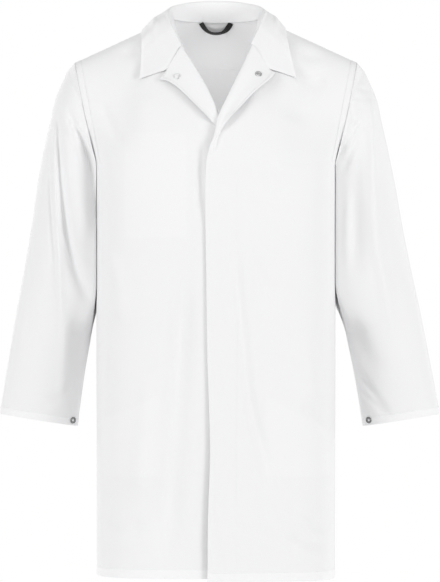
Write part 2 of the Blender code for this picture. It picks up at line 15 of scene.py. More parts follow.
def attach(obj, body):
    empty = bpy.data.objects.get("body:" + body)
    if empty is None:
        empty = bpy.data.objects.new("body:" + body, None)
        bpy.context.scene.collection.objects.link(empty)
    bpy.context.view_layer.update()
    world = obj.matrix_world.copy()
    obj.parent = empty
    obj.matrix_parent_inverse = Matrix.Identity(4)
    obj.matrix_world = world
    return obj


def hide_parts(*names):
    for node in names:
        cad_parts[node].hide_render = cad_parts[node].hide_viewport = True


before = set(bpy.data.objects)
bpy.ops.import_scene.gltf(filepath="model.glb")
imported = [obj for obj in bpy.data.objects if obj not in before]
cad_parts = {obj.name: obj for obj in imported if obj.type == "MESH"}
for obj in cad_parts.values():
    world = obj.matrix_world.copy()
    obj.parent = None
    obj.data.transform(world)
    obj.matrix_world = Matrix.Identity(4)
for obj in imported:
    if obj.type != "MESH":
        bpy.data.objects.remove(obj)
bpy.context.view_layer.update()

# ---- sizes of the coat ------------------------------------------------------------------------

UNDERARM_Z = -0.265
HEM_Z = -1.002
BODY_LENGTH = UNDERARM_Z - HEM_Z
OVER_HEM_DROP = 0.0055
SHOULDER_X = 0.2545
SHOULDER_Z = -0.079
SHOULDER_CENTRE_Z = 0.040
NECK_HALF_WIDTH = 0.0800
NECK_DEPTH = 0.066
NECK_BACK_Z = 0.002
ARMHOLE_FRONT = 0.068
ARMHOLE_BACK = 0.078
YOKE_H = 0.6                    # the upper row on which the yoke seam lies
YOKE_GAP = 0.0010               # how far above and below it, in rows, the two cloths end
OVERLAP_LIFT = 0.0028
LAPEL_OVERLAP_LIFT = 0.0062
CUFF_SWING = 0.0147
ARMHOLE_SQUARE = 0.6            # below 1 the armhole is flatter underneath
FOLD_DEPTH = 0.0665             # how far forward the sleeve's fold beside the body lies
SIDE_AIR = 0.0012               # between the body's side and the sleeve that rests on it
SECTION = {"front": (3.2, 4.2), "back": (2.7, 3.2)}     # how square the body's halves are

CLOTH = 0.0009
HEM_DEPTH = 0.0175
CUFF_HEM_DEPTH = 0.0145
HEM_ROWS = 26                   # rows of the grid that lie in and beside a hem
STITCH_PITCH = 0.0031
STITCH_INSET = 0.0012           # from the inner edge of a hem to its row of stitches
ARMHOLE_STITCH = 0.0098         # from the armhole to the row of stitches beside it
SLEEVE_STEP = 0.0955            # how long the sleeve is between its last two rings
SLEEVE_SEAM = np.radians(205)   # where round the sleeve its seam lies
SLEEVE_RADIUS = 0.055           # turns angles round the sleeve into distances
COLLAR_WALL = 0.0016
LAPEL_WALL = 0.0014
LABEL_WALL = 0.0005
ALLOWANCE_DEPTH = 0.0024        # how far in a seam's allowance is turned
STITCH_HALF = 0.0006            # half the run over which a stitch takes its direction
HEM_PUCKER = 0.016              # how far the puckers reach from each kind of seam
ARMHOLE_PUCKER = 0.010
EDGE_PUCKER = 0.007
EDGE_BAND = (0.0055, 0.0070)    # where the doubled edge of collar and lapels ends

Level = namedtuple("Level", "z half_width front back")
LEVELS = (
    Level(-1.010, 0.2145, -0.1400, 0.1400),
    Level(-0.800, 0.2150, -0.1385, 0.1350),
    Level(-0.620, 0.2155, -0.1360, 0.1280),
    Level(-0.450, 0.2155, -0.1365, 0.1180),
    Level(-0.360, 0.2156, -0.1365, 0.1240),
    Level(-0.290, 0.2162, -0.1335, 0.1290),
    Level(-0.230, 0.2165, -0.1265, 0.1305),
    Level(-0.170, 0.2165, -0.1130, 0.1270),
    Level(-0.112, 0.2165, -0.0915, 0.1130),
    Level(-0.050, 0.2165, -0.0600, 0.0900),
    Level(-0.005, 0.2165, -0.0330, 0.0700),
    Level(0.040, 0.2165, 0.0000, 0.0520),
)

# Inner edge of each front from its centre towards its own side: the roll line above the break,
# the front edge below it
Edge = namedtuple("Edge", "z x")
FRONT_EDGE = {
    "right": (
        Edge(-1.010, -0.0180), Edge(-0.240, -0.0180), Edge(-0.215, -0.0165), Edge(-0.185, -0.0053),
        Edge(-0.1345, 0.0160), Edge(-0.089, 0.0413), Edge(-0.050, 0.0645), Edge(-0.020, 0.0775),
        Edge(0.005, 0.0800),
    ),
    "left": (
        Edge(-1.010, -0.0142), Edge(-0.900, -0.0135), Edge(-0.780, -0.0098), Edge(-0.700, -0.0115),
        Edge(-0.600, -0.0148), Edge(-0.480, -0.0163), Edge(-0.278, -0.0180), Edge(-0.243, -0.0115),
        Edge(-0.2196, -0.0018), Edge(-0.185, 0.0060), Edge(-0.144, 0.0249), Edge(-0.106, 0.0429),
        Edge(-0.067, 0.0605), Edge(-0.028, 0.0765), Edge(0.005, 0.0800),
    ),
}
# From the notch round the corner and down the lapel's edge
LAPEL_EDGE = {
    "right": (
        Edge(-0.0991, 0.0877), Edge(-0.1165, 0.0990), Edge(-0.1206, 0.0859), Edge(-0.1288, 0.0722),
        Edge(-0.1422, 0.0570), Edge(-0.1612, 0.0383), Edge(-0.1850, 0.0150), Edge(-0.2130, -0.0110),
    ),
    "left": (
        Edge(-0.0974, 0.0940), Edge(-0.1050, 0.1055), Edge(-0.1193, 0.0942), Edge(-0.1446, 0.0661),
        Edge(-0.1700, 0.0425), Edge(-0.1890, 0.0245), Edge(-0.2130, 0.0082), Edge(-0.2380, 0.0030),
        Edge(-0.2660, 0.0015),
    ),
}
LAPEL_TOP_Z = -0.0555
LAPEL_BREAK_Z = {"right": -0.2150, "left": -0.2680}
LAPEL_STAND = {"right": 0.0085, "left": 0.0115}     # how far out its outer part stands
LAPEL_FADE = {"right": 0.86, "left": 0.58}          # where along its edge it starts to sink
NOTCH = {side: rows[0] for side, rows in LAPEL_EDGE.items()}
GORGE_GAP = 0.0008

Ring = namedtuple("Ring", "place outer_x outer_z inner_x inner_z front back square")
SLEEVE_RINGS = (
    Ring(0, 0.2558, -0.0795, 0.2180, -0.2655, 0.0680, 0.0780, 2.00),
    Ring(1, 0.2690, -0.0940, 0.2190, -0.2690, 0.0715, 0.0800, 2.00),
    Ring(2, 0.2793, -0.1160, 0.2196, -0.2740, 0.0750, 0.0825, 2.05),
    Ring(3, 0.2916, -0.1455, 0.2200, -0.2830, 0.0780, 0.0840, 2.10),
    Ring(4, 0.3010, -0.1880, 0.2203, -0.2980, 0.0790, 0.0840, 2.15),
    Ring(5, 0.3127, -0.2400, 0.2206, -0.3200, 0.0765, 0.0825, 2.20),
    Ring(6, 0.3235, -0.3000, 0.2208, -0.3600, 0.0720, 0.0800, 2.20),
    Ring(7, 0.3352, -0.3800, 0.2208, -0.4250, 0.0640, 0.0740, 2.20),
    Ring(8, 0.3490, -0.4600, 0.2210, -0.4950, 0.0560, 0.0660, 2.20),
    Ring(9, 0.3620, -0.5300, 0.2255, -0.5600, 0.0490, 0.0570, 2.20),
    Ring(10, 0.3771, -0.6200, 0.2395, -0.6450, 0.0380, 0.0420, 2.15),
    Ring(11, 0.3925, -0.7155, 0.2520, -0.7375, 0.0270, 0.0270, 2.05),
)
LAST_RING = len(SLEEVE_RINGS) - 1

Station = namedtuple("Station", "seam_x seam_y seam_z fold_x fold_y fold_z")
COLLAR_BACK = (
    Station(0.0000, 0.0644, 0.0010, 0.0000, 0.0690, 0.0405),
    Station(0.0216, 0.0619, 0.0011, 0.0212, 0.0674, 0.0400),
    Station(0.0415, 0.0547, 0.0014, 0.0415, 0.0614, 0.0375),
    Station(0.0592, 0.0424, 0.0018, 0.0600, 0.0510, 0.0335),
    Station(0.0712, 0.0272, 0.0022, 0.0738, 0.0375, 0.0292),
    Station(0.0765, 0.0140, 0.0026, 0.0818, 0.0240, 0.0245),
    Station(0.0776, 0.0005, 0.0030, 0.0852, 0.0110, 0.0185),
)
Turn = namedtuple("Turn", "seam_z fold_x fold_z fold_lift")
COLLAR_FRONT = (
    Turn(-0.0120, 0.0835, -0.0010, 0.0130),
    Turn(-0.0250, 0.0800, -0.0160, 0.0095),
    Turn(-0.0380, 0.0735, -0.0320, 0.0065),
    Turn(-0.0555, 0.0624, -0.0542, 0.0036),
)
# The collar's outer edge, first on the back and then, after as many as COLLAR_BACK has, in front
Fall = namedtuple("Fall", "x z lift")
COLLAR_EDGE = {
    "right": (
        Fall(0.0000, -0.0130, 0.0100), Fall(0.0260, -0.0135, 0.0095), Fall(0.0510, -0.0150, 0.0085),
        Fall(0.0760, -0.0180, 0.0075), Fall(0.1010, -0.0215, 0.0060), Fall(0.1210, -0.0240, 0.0050),
        Fall(0.1310, -0.0215, 0.0060), Fall(0.1330, -0.0390, 0.0050), Fall(0.1335, -0.0640, 0.0045),
        Fall(0.1348, -0.0890, 0.0045), Fall(0.1365, -0.1134, 0.0048),
    ),
    "left": (
        Fall(0.0000, -0.0130, 0.0100), Fall(0.0250, -0.0135, 0.0095), Fall(0.0490, -0.0150, 0.0085),
        Fall(0.0720, -0.0180, 0.0075), Fall(0.0950, -0.0205, 0.0060), Fall(0.1120, -0.0215, 0.0050),
        Fall(0.1215, -0.0170, 0.0060), Fall(0.1270, -0.0380, 0.0050), Fall(0.1325, -0.0640, 0.0045),
        Fall(0.1385, -0.0890, 0.0045), Fall(0.1437, -0.1112, 0.0048),
    ),
}

LABEL = (-0.0195, 0.0185, -0.0262, -0.0020)     # from and to in x, from and to in height
LOOP_HALF = 0.0274
LOOP_DROP = 0.0190
LOOP_TAPE = 0.0098
FLY_STITCH_X = 0.0370

# ---- reading tables and small sums ------------------------------------------------------------

Knot = namedtuple("Knot", "place value")
HALVINGS = 26


def read(rows, column, key):
    """Read a table at each value of key, with a cubic that passes through every row."""
    keys = np.array([row[0] for row in rows], float)
    values = np.array([getattr(row, column) for row in rows], float)
    slopes = np.empty_like(values)
    slopes[1:-1] = (values[2:] - values[:-2]) / (keys[2:] - keys[:-2])
    slopes[0] = (values[1] - values[0]) / (keys[1] - keys[0])
    slopes[-1] = (values[-1] - values[-2]) / (keys[-1] - keys[-2])
    key = np.clip(key, keys[0], keys[-1])
    i = np.clip(np.searchsorted(keys, key, side="right") - 1, 0, len(keys) - 2)
    step = keys[i + 1] - keys[i]
    t = (key - keys[i]) / step
    return (values[i] * (1 + 2 * t) * (1 - t) ** 2 + values[i + 1] * t * t * (3 - 2 * t)
            + slopes[i] * step * t * (1 - t) ** 2 - slopes[i + 1] * step * t * t * (1 - t))


def read_columns(places, values, wanted):
    """Read each column of values, whose rows stand at places, at every wanted place."""
    columns = [read([Knot(*knot) for knot in zip(places, column)], "value", wanted)
               for column in values.T]
    return np.stack(columns, axis=-1)


def halve(low, high, shape, is_below):
    """Close in on the place between low and high at which is_below stops being true."""
    low = np.full(shape, low)
    high = np.full(shape, high)
    for _ in range(HALVINGS):
        middle = (low + high) / 2
        below = is_below(middle)
        low = np.where(below, middle, low)
        high = np.where(below, high, middle)
    return (low + high) / 2


def run_lengths(points, axis):
    """Distances walked along one direction of a grid of points."""
    steps = np.linalg.norm(np.diff(points, axis=axis), axis=-1)
    start = np.zeros_like(np.take(steps, [0], axis=axis))
    return np.concatenate([start, np.cumsum(steps, axis=axis)], axis=axis)


def ease(value, low, high):
    """0 below low, 1 above high, and a soft step between them."""
    t = np.clip((value - low) / (high - low), 0.0, 1.0)
    return t * t * (3 - 2 * t)


def groove(distance, half_width):
    """1 on the line where distance is 0, fading softly to both sides."""
    return np.exp(-(distance / half_width) ** 2)


def mix(a, b, t):
    """a where t is 0, b where it is 1."""
    return a + (b - a) * t


def unit(arrows):
    return arrows / np.maximum(np.linalg.norm(arrows, axis=-1, keepdims=True), 1e-12)


def vectors(x, y, z):
    return np.stack(np.broadcast_arrays(x, y, z), axis=-1).astype(float)


# ---- the body's surface -----------------------------------------------------------------------

LOWEST_ROW = -1.02


def body_row(half, h):
    """The row at h, from -1 at the hem through 0 at the underarm to 1 at the shoulder seam."""
    h = np.asarray(h, float)
    front = half == "front"
    low_z = UNDERARM_Z + h * BODY_LENGTH
    up = np.clip(h, 0.0, 1.0)
    rise = (1 - np.cos(np.pi * up)) / 2
    top = SHOULDER_CENTRE_Z if front else NECK_BACK_Z
    centre_z = np.where(h <= 0, low_z, mix(UNDERARM_Z, top, rise if front else rise ** 0.92))
    centre_y = read(LEVELS, half, centre_z)
    under_x = read(LEVELS, "half_width", UNDERARM_Z)
    middle_x = (SHOULDER_X + under_x) / 2
    middle_z = (SHOULDER_Z + UNDERARM_Z) / 2
    turn = np.cos(np.pi * (1 - up))
    width = np.where(h <= 0, read(LEVELS, "half_width", low_z), mix(middle_x, SHOULDER_X, turn))
    reach = -ARMHOLE_FRONT if front else ARMHOLE_BACK
    end_y = reach * np.abs(np.sin(np.pi * (1 - up))) ** ARMHOLE_SQUARE
    end_z = np.where(h <= 0, low_z, mix(middle_z, SHOULDER_Z, turn))
    roundness, corner = SECTION[half]
    ratio = np.minimum(np.abs(end_y), 0.9 * np.abs(centre_y)) / np.maximum(np.abs(centre_y), 0.001)
    full_x = width / (1 - ratio ** corner) ** (1 / roundness)
    dip = 2.0 - (ease(h, 0.55, 1.0) if front else np.zeros_like(h))
    return dict(x=width, y=end_y, z=end_z, centre_y=centre_y, centre_z=centre_z, dip=dip,
                roundness=roundness, corner=corner, full_x=full_x, flat=ease(h, 0.10, 0.55))


def row_point(row, t):
    """A point of a row, from -1 at one end through 0 at the centre to 1 at the other."""
    t = np.clip(t, -1.0, 1.0)
    inside = np.clip(1 - (np.abs(t) * row["x"] / row["full_x"]) ** row["roundness"], 0.0, 1.0)
    oval = row["centre_y"] * inside ** (1 / row["corner"])
    bow = mix(row["y"], row["centre_y"], 1 - t * t)
    return vectors(t * row["x"], mix(oval, bow, row["flat"]),
                   mix(row["centre_z"], row["z"], np.abs(t) ** row["dip"]))


def top_edge(t):
    """The back's upper edge: the neckline as far as the side-neck point, then the shoulder."""
    t = np.clip(t, -1.0, 1.0)
    along = np.clip(np.abs(t) * SHOULDER_X / NECK_HALF_WIDTH, 0.0, 1.0)
    corner = mix(SHOULDER_CENTRE_Z, SHOULDER_Z, NECK_HALF_WIDTH / SHOULDER_X)
    neck = along < 1.0
    y = np.where(neck, NECK_DEPTH * np.sqrt(1 - along ** 2), 0.0)
    z = np.where(neck, mix(NECK_BACK_Z, corner, along ** 2),
                 mix(SHOULDER_CENTRE_Z, SHOULDER_Z, np.abs(t)))
    return vectors(t * SHOULDER_X, y, z)


def body_point(half, x, h):
    """The point of the body's front or back at x on the row at h."""
    row = body_row(half, h)
    t = x / row["x"]
    point = row_point(row, t)
    if half == "back":
        pull = np.clip((np.asarray(h, float) - 0.5) / 0.5, 0.0, 1.0)[..., None] ** 3
        point = point + (top_edge(t) - row_point(body_row("back", 1.0), t)) * pull
    return point


def body_normal(half, x, h):
    """The direction straight off the body there."""
    h = np.asarray(h, float)
    limit = body_row(half, h)["x"]
    across = (body_point(half, np.minimum(x + 0.003, limit), h)
              - body_point(half, np.maximum(x - 0.003, -limit), h))
    up = (body_point(half, x, np.minimum(h + 0.01, 1.0))
          - body_point(half, x, np.maximum(h - 0.01, LOWEST_ROW)))
    return unit(np.cross(across, up) if half == "front" else np.cross(up, across))


def height_to_row(half, x, z):
    """The h whose row passes through (x, z) in the front view."""
    return halve(LOWEST_ROW, 1.0, np.broadcast(x, z).shape,
                 lambda h: body_point(half, x, h)[..., 2] < z)


def overlap_lift(side, x, z):
    """How far the left front stands out to pass over the right one."""
    if side == "right":
        return 0.0 * x
    lift = mix(OVERLAP_LIFT, LAPEL_OVERLAP_LIFT, ease(z, -0.32, -0.25))
    return lift * (1 - ease(x, 0.055, 0.105))


# ---- creases ----------------------------------------------------------------------------------

# A crease in millimetres.  It runs through its points, given in the front view as x and height.
# depth is how far its middle stands out (a trough is negative) and lean how far one side stands
# above the other, the side to the right of the run.
Crease = namedtuple("Crease", "points width depth lean", defaults=(0.0,))
CREASE_DEPTH = 1.45
CREASE_STEPS = 24
SOFTENINGS = 60


def smooth_run(points, steps):
    """Even steps along a smooth curve through the points."""
    points = np.asarray(points, float)
    along = run_lengths(points, 0)
    return read_columns(along, points, np.linspace(0.0, along[-1], steps))


def relief(creases, x, z):
    """How far the creases move the cloth at each (x, z), in metres."""
    total = np.zeros(np.broadcast(x, z).shape)
    spots = np.stack(np.broadcast_arrays(x, z), axis=-1)
    for number, crease in enumerate(creases):
        crease = Crease(*(np.array(part) / 1000 for part in crease))
        run = smooth_run(crease.points, CREASE_STEPS)
        near = np.full(total.shape, 1e9)
        place = np.zeros(total.shape)
        hand = np.zeros(total.shape)
        for k in range(len(run) - 1):
            start = run[k]
            step = run[k + 1] - start
            away = spots - start
            t = np.clip((away @ step) / (step @ step), 0.0, 1.0)
            gap = away - t[..., None] * step
            distance = np.linalg.norm(gap, axis=-1)
            closer = distance < near
            near = np.where(closer, distance, near)
            place = np.where(closer, (k + t) / (len(run) - 1), place)
            side = np.sign(step[1] * away[..., 0] - step[0] * away[..., 1])
            hand = np.where(closer, side, hand)
        fade = ease(place, 0.0, 0.3) * ease(1 - place, 0.0, 0.3)
        fade = fade * (1 + 0.22 * np.sin(9.0 * place + 1.7 * number))
        reach = near / (crease.width * (0.75 + 0.5 * place))
        bell = np.exp(-reach ** 2)
        total += fade * (crease.depth * bell + crease.lean * hand * reach * bell * 1.7)
    return total * CREASE_DEPTH


FRONT_CREASES = {
    "right": (
        Crease(((-52, -420), (-64, -600), (-76, -780), (-96, -1020)), 22, -8.5),
        Crease(((-118, -640), (-128, -760), (-132, -900)), 20, 3),
        Crease(((-26, -215), (-27, -290), (-24, -380)), 7.5, -2.6),
        Crease(((-191, -590), (-189, -630), (-192, -670)), 6, -1.4),
        Crease(((-158, -40), (-146, -85), (-120, -118)), 24, -3.4),
        Crease(((-210, -150), (-180, -205), (-150, -228)), 10, -2.2),
        Crease(((-120, -118), (-128, -180), (-110, -260)), 30, 3.5),
        Crease(((-200, -400), (-175, -480), (-168, -560)), 16, 2.2),
        Crease(((-205, -905), (-170, -922), (-120, -900)), 12, -2),
    ),
    "left": (
        Crease(((75, -128), (43, -168), (20.5, -200), (8.5, -228), (6, -262)), 7.5, -1.6),
        Crease(((34, -370), (40.5, -500), (49.5, -585), (60, -690), (88, -800),
                (108, -890)), 9.5, -4.2),
        Crease(((62, -430), (82, -480), (100, -540)), 14, -2.2),
        Crease(((196, -80), (168, -135), (138, -200)), 22, -4.6),
        Crease(((176, -50), (160, -85), (138, -120)), 22, -3.6),
        Crease(((100, -150), (110, -230), (90, -320)), 30, 3.5),
        Crease(((150, -560), (170, -640), (165, -720)), 18, 2.4),
        Crease(((148, -690), (170, -712), (198, -745)), 6, -1.2),
        Crease(((120, -925), (165, -955), (205, -962)), 11, -2.2),
        Crease(((150, -890), (180, -925), (207, -930)), 9, -1.8),
        Crease(((25, -375), (27, -395), (24.5, -415)), 5, -0.8),
    ),
}


def front_relief(side, x, z):
    """The creases of one front; x is measured towards its own side."""
    if side == "right":
        moved = relief(FRONT_CREASES[side], -x, z)
        moved -= ((0.0006 * ease(-z, 0.26, 0.45) + 0.0044 * ease(-z, 0.55, 0.98))
                  * (1 - ease(x, -0.015, 0.060)))
    else:
        moved = relief(FRONT_CREASES[side], x, z) * mix(0.3, 1.0, ease(x, 0.010, 0.028))
        moved += ((0.0004 * ease(-z, 0.24, 0.40) + 0.0016 * ease(-z, 0.60, 0.98))
                  * (1 - ease(x, 0.0, 0.090)))
    return moved


def lifted(half, x, h, lift):
    """A point of the body at (x, h), lifted straight off it."""
    return body_point(half, x, h) + body_normal(half, x, h) * np.asarray(lift)[..., None]


def on_front(side, x, z, lift):
    """A point on one front at (x, z), lifted off it, with the front's own creases."""
    x = np.asarray(x, float)
    z = np.asarray(z, float)
    lift = lift + overlap_lift(side, x, z) + front_relief(side, x, z)
    return placed(side, lifted("front", x, height_to_row("front", x, z), lift))


def on_back(x, z, lift):
    """A point on the back at (x, z), lifted off it, without creases."""
    x = np.asarray(x, float)
    h = height_to_row("back", np.abs(x), np.asarray(z, float))
    point = lifted("back", np.abs(x), h, lift)
    point[..., 0] *= np.where(x < 0, -1.0, 1.0)
    return point


def placed(side, point):
    """Turn points given for the wearer's left into ones on the named side."""
    return point if side == "left" else point * np.array([-1.0, 1.0, 1.0])


# ---- finishes ---------------------------------------------------------------------------------

# What each spot of cloth says of itself: how near a seam it is, and how many layers lie there; the
# layers paint doubled cloth paler, as painted light
MARKS = ("seam", "layer")


class Amount:
    """A node's output that takes part in sums, so that shader maths reads as an expression."""

    def __init__(self, finish, socket):
        self.finish = finish
        self.socket = socket

    def __add__(self, other):
        return self.finish.sum("ADD", self, other)

    def __sub__(self, other):
        return self.finish.sum("SUBTRACT", self, other)

    def __rsub__(self, other):
        return self.finish.sum("SUBTRACT", other, self)

    def __mul__(self, other):
        return self.finish.sum("MULTIPLY", self, other)

    def __truediv__(self, other):
        return self.finish.sum("DIVIDE", self, other)

    __radd__ = __add__
    __rmul__ = __mul__


class Finish:
    """A node material built by expressions."""

    def __init__(self, name, **constants):
        self.material = bpy.data.materials.new(name)
        self.material.use_nodes = True
        self.tree = self.material.node_tree
        self.shader = self.tree.nodes["Principled BSDF"]
        for socket, value in constants.items():
            self.shader.inputs[socket.replace("_", " ")].default_value = value

    def node(self, kind, settings=None, sockets=None, outlet=0):
        """Add a node: its settings first, then the values or links of its sockets."""
        made = self.tree.nodes.new(kind)
        for setting, value in (settings or {}).items():
            if setting == "stops":
                for stop, (place, colour) in zip(made.color_ramp.elements, value):
                    stop.position = place
                    stop.color = colour
            else:
                setattr(made, setting, value)
        for socket, value in (sockets or {}).items():
            self.join(value, made.inputs[socket])
        return Amount(self, made.outputs[outlet])

    def join(self, value, socket):
        if isinstance(value, Amount):
            self.tree.links.new(value.socket, socket)
        else:
            socket.default_value = value

    def sum(self, operation, *values):
        return self.node("ShaderNodeMath", {"operation": operation}, dict(enumerate(values)))

    def blend(self, share, first, second):
        """Mix two colours."""
        return self.node("ShaderNodeMix", {"data_type": "RGBA"},
                         {0: share, 6: first, 7: second}, outlet=2)

    def noise(self, place, **sockets):
        return self.node("ShaderNodeTexNoise", None, {"Vector": place, **sockets})

    def stretched(self, place, scale):
        return self.node("ShaderNodeMapping", None, {0: place, 3: scale})

    def cloth_place(self):
        """A spot's place on its cloth in metres, and its two parts, across and along."""
        place = self.node("ShaderNodeUVMap", {"uv_map": "cloth"})
        across = self.node("ShaderNodeSeparateXYZ", None, {0: place})
        return place, across, Amount(self, across.socket.node.outputs[1])

    def feed(self, socket, value):
        self.join(value, self.shader.inputs[socket])

    def bump(self, height, distance, strength=1.0):
        self.feed("Normal", self.node("ShaderNodeBump", None, {
            "Height": height, "Distance": distance, "Strength": strength}))


def grey(level, blue=1.0):
    return (level, level, min(level * blue, 1.0), 1.0)


def white_cotton(name, level=0.868, weave_pitch=0.0009, weave=0.5):
    """Plain-weave poly-cotton: fine crossing threads, thicker slubs, puckers along the seams."""
    finish = Finish(name, Roughness=0.86, Sheen_Weight=0.10, Sheen_Roughness=0.6,
                    Specular_IOR_Level=0.25)
    place, across, along = finish.cloth_place()
    turns = 2 * np.pi / weave_pitch
    threads = finish.sum("SINE", across * turns) * finish.sum("SINE", along * turns)
    slubs = finish.noise(finish.stretched(place, (900.0, 60.0, 1.0)), Scale=1.0)
    soft = finish.noise(place, Scale=26.0, Detail=3.0)
    seam, layer = (finish.node("ShaderNodeAttribute", {"attribute_name": mark}, outlet=2)
                   for mark in MARKS)
    ripple = finish.noise(finish.stretched(place, (95.0, 95.0, 1.0)), Scale=1.0)
    finish.bump(threads * weave * 0.1 + slubs * 0.25 + soft * 0.35 + seam * ripple * 2.2, 0.0006)
    # Painted light: layer paints doubled cloth paler, standing in for less of the shade inside the
    # coat showing through it; slubs, mottle and weave are the cloth's own tone
    shade = (slubs - 0.5) * 0.10 + (soft - 0.5) * 0.05 + layer * 0.9 + threads * 0.02 + 0.5
    finish.feed("Base Color", finish.blend(shade, grey(level - 0.035, 1.004),
                                           grey(level + 0.035, 1.008)))
    finish.feed("Roughness", 0.84 + (slubs - 0.5) * 0.08)
    return finish.material


def woven_tape(name):
    """Black herringbone tape."""
    finish = Finish(name, Specular_IOR_Level=0.3, Sheen_Weight=0.15)
    _, across, along = finish.cloth_place()
    bend = finish.sum("PINGPONG", across, 0.0024)
    ribs = finish.sum("SINE", (along + bend) * 5200.0)
    finish.feed("Base Color", finish.blend(ribs * 0.5 + 0.5, grey(0.007), grey(0.026)))
    finish.feed("Roughness", 0.72 + ribs * 0.06)
    finish.bump(ribs, 0.0002)
    return finish.material


def pressed_metal(name, level, roughness):
    """Pressed snap metal with fine turning marks and a slightly worn rim."""
    finish = Finish(name, Metallic=1.0)
    place = finish.node("ShaderNodeTexCoord", outlet=3)
    wear = finish.noise(place, Scale=900.0, Detail=4.0)
    stains = finish.noise(place, Scale=260.0)
    finish.feed("Base Color", finish.blend(stains, grey(level * 0.82), grey(min(level * 1.15, 1))))
    finish.feed("Roughness", roughness + (wear - 0.5) * 0.18)
    finish.bump(wear, 0.00005)
    return finish.material


cotton = white_cotton("white cotton")
# The collar and lapels take a touch paler copy of the same cotton, painted light for their doubled
# cloth
collar_cotton = white_cotton("white cotton, collar and lapels", level=0.872)
label_cotton = white_cotton("white label weave", level=0.885, weave_pitch=0.0004)
thread = white_cotton("white thread", level=0.86, weave_pitch=0.0006, weave=1.5)
black_tape = woven_tape("black herringbone tape")
steel = pressed_metal("snap steel", 0.86, 0.50)
cuff_metal = pressed_metal("cuff snap metal", 0.24, 0.40)
dark_metal = pressed_metal("snap, dark", 0.54, 0.42)

# ---- making pieces ----------------------------------------------------------------------------


def mesh_of(bm, name):
    """Turn a bmesh into a new mesh."""
    mesh = bpy.data.meshes.new(name)
    bm.to_mesh(mesh)
    bm.free()
    return mesh


def show(name, data):
    """Put a mesh, a light or a camera into the scene."""
    thing = bpy.data.objects.new(name, data)
    bpy.context.scene.collection.objects.link(thing)
    return thing


def cloth_piece(name, points, wall, surface, closed, marks):
    """A sheet through a grid of points, with a UV map in metres and a wall."""
    rows, columns = points.shape[:2]
    bm = bmesh.new()
    bmesh.ops.create_grid(bm, x_segments=columns - 1, y_segments=rows - 1, size=1)
    mesh = mesh_of(bm, name)
    mesh.vertices.foreach_set("co", points.reshape(-1).astype(np.float32))
    corners = np.empty(len(mesh.loops), np.int32)
    mesh.loops.foreach_get("vertex_index", corners)
    walked = np.stack([run_lengths(points, 1), run_lengths(points, 0)], axis=-1).reshape(-1, 2)
    layer = mesh.uv_layers.new(name="cloth")
    layer.data.foreach_set("uv", walked[corners].reshape(-1).astype(np.float32))
    for mark in MARKS:
        values = np.broadcast_to(marks.get(mark, 0.0), (rows, columns))
        spots = mesh.attributes.new(mark, "FLOAT", "POINT")
        spots.data.foreach_set("value", values.reshape(-1).astype(np.float32))
    if closed:
        bm = bmesh.new()
        bm.from_mesh(mesh)
        bmesh.ops.remove_doubles(bm, verts=bm.verts, dist=1e-6)
        bmesh.ops.recalc_face_normals(bm, faces=bm.faces)
        bm.to_mesh(mesh)
        bm.free()
    mesh.shade_smooth()
    mesh.materials.append(surface)
    thing = show(name, mesh)
    thickness = thing.modifiers.new("wall", "SOLIDIFY")
    thickness.thickness = wall
    thickness.offset = 0.0
    crisp = thing.modifiers.new("crisp edges", "EDGE_SPLIT")
    crisp.split_angle = radians(55)
    return thing


def stitches(name, run, normals):
    """A row of small raised stitches along a run of points."""
    along = run_lengths(run, 0)
    count = max(int(along[-1] / STITCH_PITCH), 2)
    size = Matrix.Diagonal((STITCH_PITCH * 0.40, 0.00033, 0.00022, 1.0))
    bm = bmesh.new()
    for k in range(count):
        middle = (k + 0.5) * along[-1] / count
        before, spot, after = (
            np.array([np.interp(place, along, run[:, c]) for c in range(3)])
            for place in (middle - STITCH_HALF, middle, middle + STITCH_HALF))
        way = Vector(after - before).normalized()
        out = Vector([np.interp(middle, along, normals[:, c]) for c in range(3)]).normalized()
        side = out.cross(way).normalized()
        facing = Matrix((way, side, out)).transposed().to_4x4()
        bmesh.ops.create_icosphere(bm, subdivisions=1, radius=1.0,
                                   matrix=Matrix.Translation(Vector(spot)) @ facing @ size)
    mesh = mesh_of(bm, name)
    mesh.uv_layers.new(name="cloth")
    mesh.shade_smooth()
    mesh.materials.append(thread)
    thing = show(name, mesh)
    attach(thing, "root")
    return thing


def turned_in(points, normal):
    """Add a narrow strip turned inwards along the last row, as a seam allowance."""
    return np.concatenate([points, points[-1:] - normal[-1:] * ALLOWANCE_DEPTH])


def edged(marks, rows, columns):
    """Repeat a grid's outermost marks on the rows and columns added before and after it."""
    return {mark: np.pad(values, (rows, columns), mode="edge") for mark, values in marks.items()}


def press_hem(lift, from_edge, depth):
    """Raise the doubled cloth of a hem and sink its stitches; and say where it is doubled."""
    doubled = 1 - ease(from_edge, depth - 0.0010, depth + 0.0004)
    sunk = groove(from_edge - depth + STITCH_INSET, 0.0010)
    return lift + 0.0005 * doubled - 0.0007 * sunk, doubled


def press_armhole(lift, to_armhole, h):
    """Do the same for the seam allowance beside the armhole, and say how much paler it is painted,
    as painted light for the doubled cloth.
    """
    upper = ease(h, 0.02, 0.10)
    allowance = 1 - ease(to_armhole, 0.0085, 0.0100)
    sunk = groove(to_armhole - ARMHOLE_STITCH, 0.0014) * upper
    return lift - 0.0006 * sunk + 0.0005 * upper * allowance, 0.07 * allowance * upper


def hem_levels(low, high, rows, band):
    """Row places that crowd together in the hem band at the low end."""
    dense = np.linspace(low, low + band * 1.35, HEM_ROWS)
    return np.concatenate([dense, np.linspace(dense[-1], high, rows - HEM_ROWS + 1)[1:]])


# ---- the fronts -------------------------------------------------------------------------------


def front_edge_x(side, h):
    """Where each row of a front meets its inner edge."""
    return halve(-0.03, NECK_HALF_WIDTH, h.shape, lambda x: x < read(
        FRONT_EDGE[side], "x", body_point("front", x, h)[..., 2]))


def front_hem(side):
    """The row of a front's hem; the left one hangs a little lower."""
    return -(1 + (OVER_HEM_DROP / BODY_LENGTH if side == "left" else 0.0))


